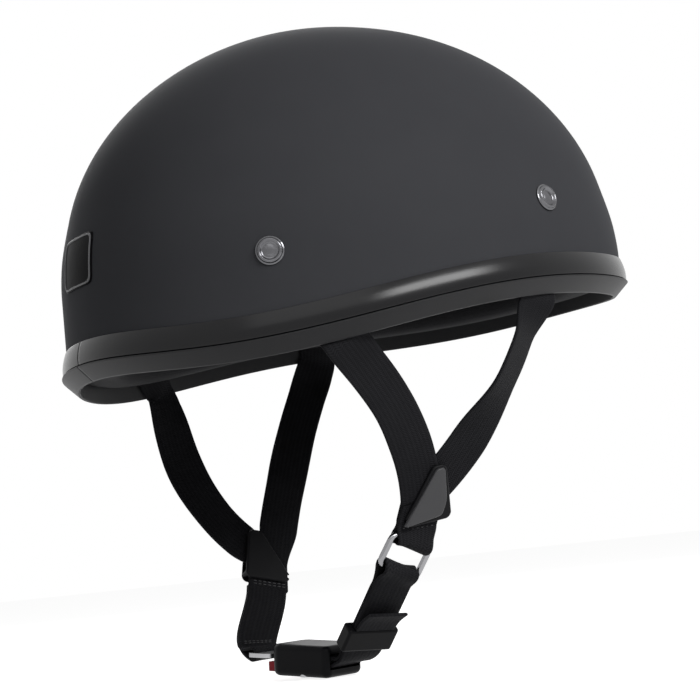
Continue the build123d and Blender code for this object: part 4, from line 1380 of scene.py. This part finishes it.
# %% [markdown]
# ## Left chin strap
# The left chin strap joins the bar of the tongue to the bend under the left
# guide. At its ends it has to run straight on, into the buckle's direction and
# into the stub's, so its line is a cubic with given slopes.

# %% Left chin strap
tongue_out = 0.015
tongue_bar = 0.0024
tongue_rise = 0.0016
chin_tack = 0.0105
chin_stations = 9


def build_left_chin():
    """A cubic from the tongue's bar to the bend, with both end slopes as long as the span."""
    start = buckle_at + buckle_dir * (buckle_half + tongue_out - tongue_bar / 2) + buckle_up * tongue_rise
    across = guide_mouth(1, *left_guide)[1]
    up = square_to(-hang_frame(1)[1], across)
    span = np.linalg.norm(left_bend - start)
    s = np.linspace(0, 1, chin_stations)[:, None]
    ends = start * (2 * s ** 3 - 3 * s ** 2 + 1) + left_bend * (3 * s ** 2 - 2 * s ** 3)
    slopes = buckle_dir * (s ** 3 - 2 * s ** 2 + s) + up * (s ** 3 - s ** 2)
    turned = unit(buckle_across * (1 - s) + across * s)
    stations = list(zip(ends + slopes * span, turned))
    strap = doubled_strap("left_chin_webbing", stations, (bar_hole, 0))
    strap.data.materials.append(webbing_cloth)
    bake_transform(strap)
    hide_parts("left_chin_strap")
    return strap, bar_tack("left_chin_stitching", "tongue", stations, chin_tack)


for piece in build_left_chin():
    tell(piece)

# %% [markdown]
# ## Loose tail
# The loose tail of the right chin strap comes out of the slider and stands off
# a little, because webbing is stiff. It is a short single strap that moves with
# the slider.

# %% Loose tail
tail_lift = math.radians(25)
tail_half = 0.007
slider_half = 0.0065
tail_points = 40


def build_tail():
    """Three stations: at the slider, half way along and lifted by an angle."""
    out = np.cross(chin_dir, chin_across)
    if out[0] > 0:
        out = -out
    layer = doubled / 2 + strap_thick / 2 + strap_play
    foot = slider_at - chin_dir * (slider_half + fit_gap) + out * layer
    lifted = -chin_dir * math.cos(tail_lift) + out * math.sin(tail_lift)
    middle = foot + unit(lifted - chin_dir) * tail_half
    tip = middle + lifted * tail_half
    line = smooth_line([np.concatenate((point, chin_across)) for point in (foot, middle, tip)], tail_points)
    tail = sweep("loose_tail", line[:, :3], line[:, 3:], webbing_section())
    return dress(tail, webbing_cloth, "slider", "webbing", "strap_tail")


tell(build_tail())

# %% [markdown]
# ## Parts kept as solids
# Foam, guides, slider and buckle are hard moulded or stamped parts whose solids
# already have every edge and hole. Modelling them again would add nothing, so
# they keep their meshes and get finishes: bead foam has a coarse grain, the
# guides and buckle a fine one, and the release button is the one red part.

# %% Finishes of the solids
foam_black = moulded(
    "foam_black", (0.014, 0.014, 0.015), (0.020, 0.020, 0.021), (0.80, 0.90), 420, 0.0002)
guide_plastic = moulded(
    "guide_plastic", (0.005, 0.005, 0.006), (0.008, 0.008, 0.009), (0.44, 0.54), 2200, 0.00004, specular=0.1)
buckle_plastic = moulded(
    "buckle_plastic", (0.004, 0.004, 0.005), (0.007, 0.007, 0.008), (0.32, 0.42), 2400, 0.00002,
    specular=0.06)
button_red = moulded(
    "button_red", (0.26, 0.008, 0.018), (0.32, 0.012, 0.022), (0.35, 0.45), 1500, 0.00002, specular=0.2)
steel = moulded("steel", (0.30, 0.30, 0.31), (0.42, 0.42, 0.43), (0.28, 0.40), 2000, 0.00002, metallic=1.0)
finishes = {
    "impact_liner": foam_black,
    "rivet_washers": steel,
    "right_strap_guide": guide_plastic,
    "left_strap_guide": guide_plastic,
    "strap_slider": buckle_plastic,
    "buckle_base": buckle_plastic,
    "buckle_cover": buckle_plastic,
    "buckle_screws": steel,
    "anchor_pin": steel,
    "latch_leaf": steel,
    "leaf_rivet": steel,
    "buckle_tongue": steel,
    "release_button": button_red,
}
for node, material in finishes.items():
    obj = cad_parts[node]
    obj.data.materials.clear()
    obj.data.materials.append(material)
    tell(obj)

# %% [markdown]
# ## Camera
# A long lens keeps the dome from bulging. It stands behind the wearer's right
# shoulder, a little below the rim, so that the inside of the far rim shows. Its
# place and its two directions were fitted to the helmet's outline.

# %% Camera
camera_right = Vector((-0.488115, -0.867269, -0.097915))
camera_up = Vector((-0.144737, -0.030199, 0.989009))
camera_at = Vector((-0.76871, 0.44733, -0.14523))
camera_lens = 93.07
camera_sensor = 36


def build_camera():
    """The columns of the camera's matrix are its right, up and backward directions."""
    camera = bpy.data.objects.new("camera", bpy.data.cameras.new("camera"))
    bpy.context.scene.collection.objects.link(camera)
    back = camera_right.cross(camera_up)
    place = Matrix((camera_right, camera_up, back)).transposed().to_4x4()
    place.translation = camera_at
    camera.matrix_world = place
    camera.data.sensor_width = camera_sensor
    camera.data.lens = camera_lens
    bpy.context.scene.camera = camera


build_camera()
print("camera distance:", round(camera_at.length, 3))

# %% [markdown]
# ## White room
# A black object on white is hard to light: a white room that lights it evenly
# turns it grey. So what the camera and the mirrors see is white, and what gives
# soft light is a dim grey. The Light Path node tells these rays apart, in the
# world and on the floor, and the floor still takes a faint shadow.

# %% World
room_grey = 0.13


def seen_directly(tree):
    """1 for camera, glossy and transmission rays, 0 for the rays that carry soft light."""
    path = tree.nodes.new("ShaderNodeLightPath")
    seen = math_node(tree, "ADD", path.outputs["Is Camera Ray"], path.outputs["Is Glossy Ray"])
    return math_node(tree, "ADD", seen, path.outputs["Is Transmission Ray"], clamp=True)


def build_world():
    """Grey x (1 - seen) + white x seen."""
    world = bpy.data.worlds.new("studio")
    bpy.context.scene.world = world
    world.use_nodes = True
    tree = world.node_tree
    background = tree.nodes["Background"]
    background.inputs["Color"].default_value = (room_grey, room_grey, room_grey, 1)
    white = tree.nodes.new("ShaderNodeBackground")
    white.inputs["Color"].default_value = (1, 1, 1, 1)
    mix = tree.nodes.new("ShaderNodeMixShader")
    tree.links.new(seen_directly(tree), mix.inputs["Fac"])
    tree.links.new(background.outputs["Background"], mix.inputs[1])
    tree.links.new(white.outputs["Background"], mix.inputs[2])
    tree.links.new(mix.outputs["Shader"], tree.nodes["World Output"].inputs["Surface"])


build_world()
print("grey of the soft light:", room_grey)

# %% Floor
floor_glow = 0.86
floor_half = 6.0
floor_gap = 0.0005
floor_grey = 0.8


def build_floor():
    """A wide pale square just under the lowest point; its glow is the floor's share x seen."""
    low = cad_box[0][2] - floor_gap
    x, y = np.meshgrid((-floor_half, floor_half), (-floor_half, floor_half))
    floor = grid_object("floor", np.stack((x, y, np.full_like(x, low)), axis=-1))
    material, tree, shader = new_material("floor_paper")
    shader.inputs["Base Color"].default_value = (floor_grey, floor_grey, floor_grey, 1)
    shader.inputs["Roughness"].default_value = 1.0
    shader.inputs["Specular IOR Level"].default_value = 0.0
    shader.inputs["Emission Color"].default_value = (1, 1, 1, 1)
    glow = math_node(tree, "MULTIPLY", seen_directly(tree), floor_glow)
    tree.links.new(glow, shader.inputs["Emission Strength"])
    material.cycles.emission_sampling = "NONE"
    floor.data.materials.append(material)
    return floor


tell(build_floor())

# %% [markdown]
# ## Lamps
# Three soft boxes model the dome: a narrow key near the camera that draws the
# highlight along the moulding's band, a weak fill from above the nape, and one
# on the far side that lifts the rim there off the dark.

# %% Lamps
# name, azimuth and elevation in degrees, distance, width and height, watts
lamps = (
    ("key", 196, 27, 1.35, (0.74, 0.30), 11),
    ("fill", 150, 40, 1.5, (1.0, 1.0), 3),
    ("far_side", -15, 32, 1.5, (1.0, 1.0), 6),
)


def build_lamp(name, azimuth, elevation, distance, size, watts):
    """A soft box that looks at the origin along minus its own direction."""
    lamp = bpy.data.objects.new(name, bpy.data.lights.new(name, "AREA"))
    bpy.context.scene.collection.objects.link(lamp)
    lamp.data.energy = watts
    lamp.data.shape = "RECTANGLE"
    lamp.data.size, lamp.data.size_y = size
    around, rise = math.radians(azimuth), math.radians(elevation)
    ray = Vector((math.cos(rise) * math.cos(around), math.cos(rise) * math.sin(around), math.sin(rise)))
    turn = (-ray).to_track_quat("-Z", "Y").to_matrix().to_4x4()
    lamp.matrix_world = Matrix.Translation(ray * distance) @ turn
    print(name, watts, "W from", azimuth, elevation)


for lamp_row in lamps:
    build_lamp(*lamp_row)
bpy.context.scene.view_settings.view_transform = "Standard"
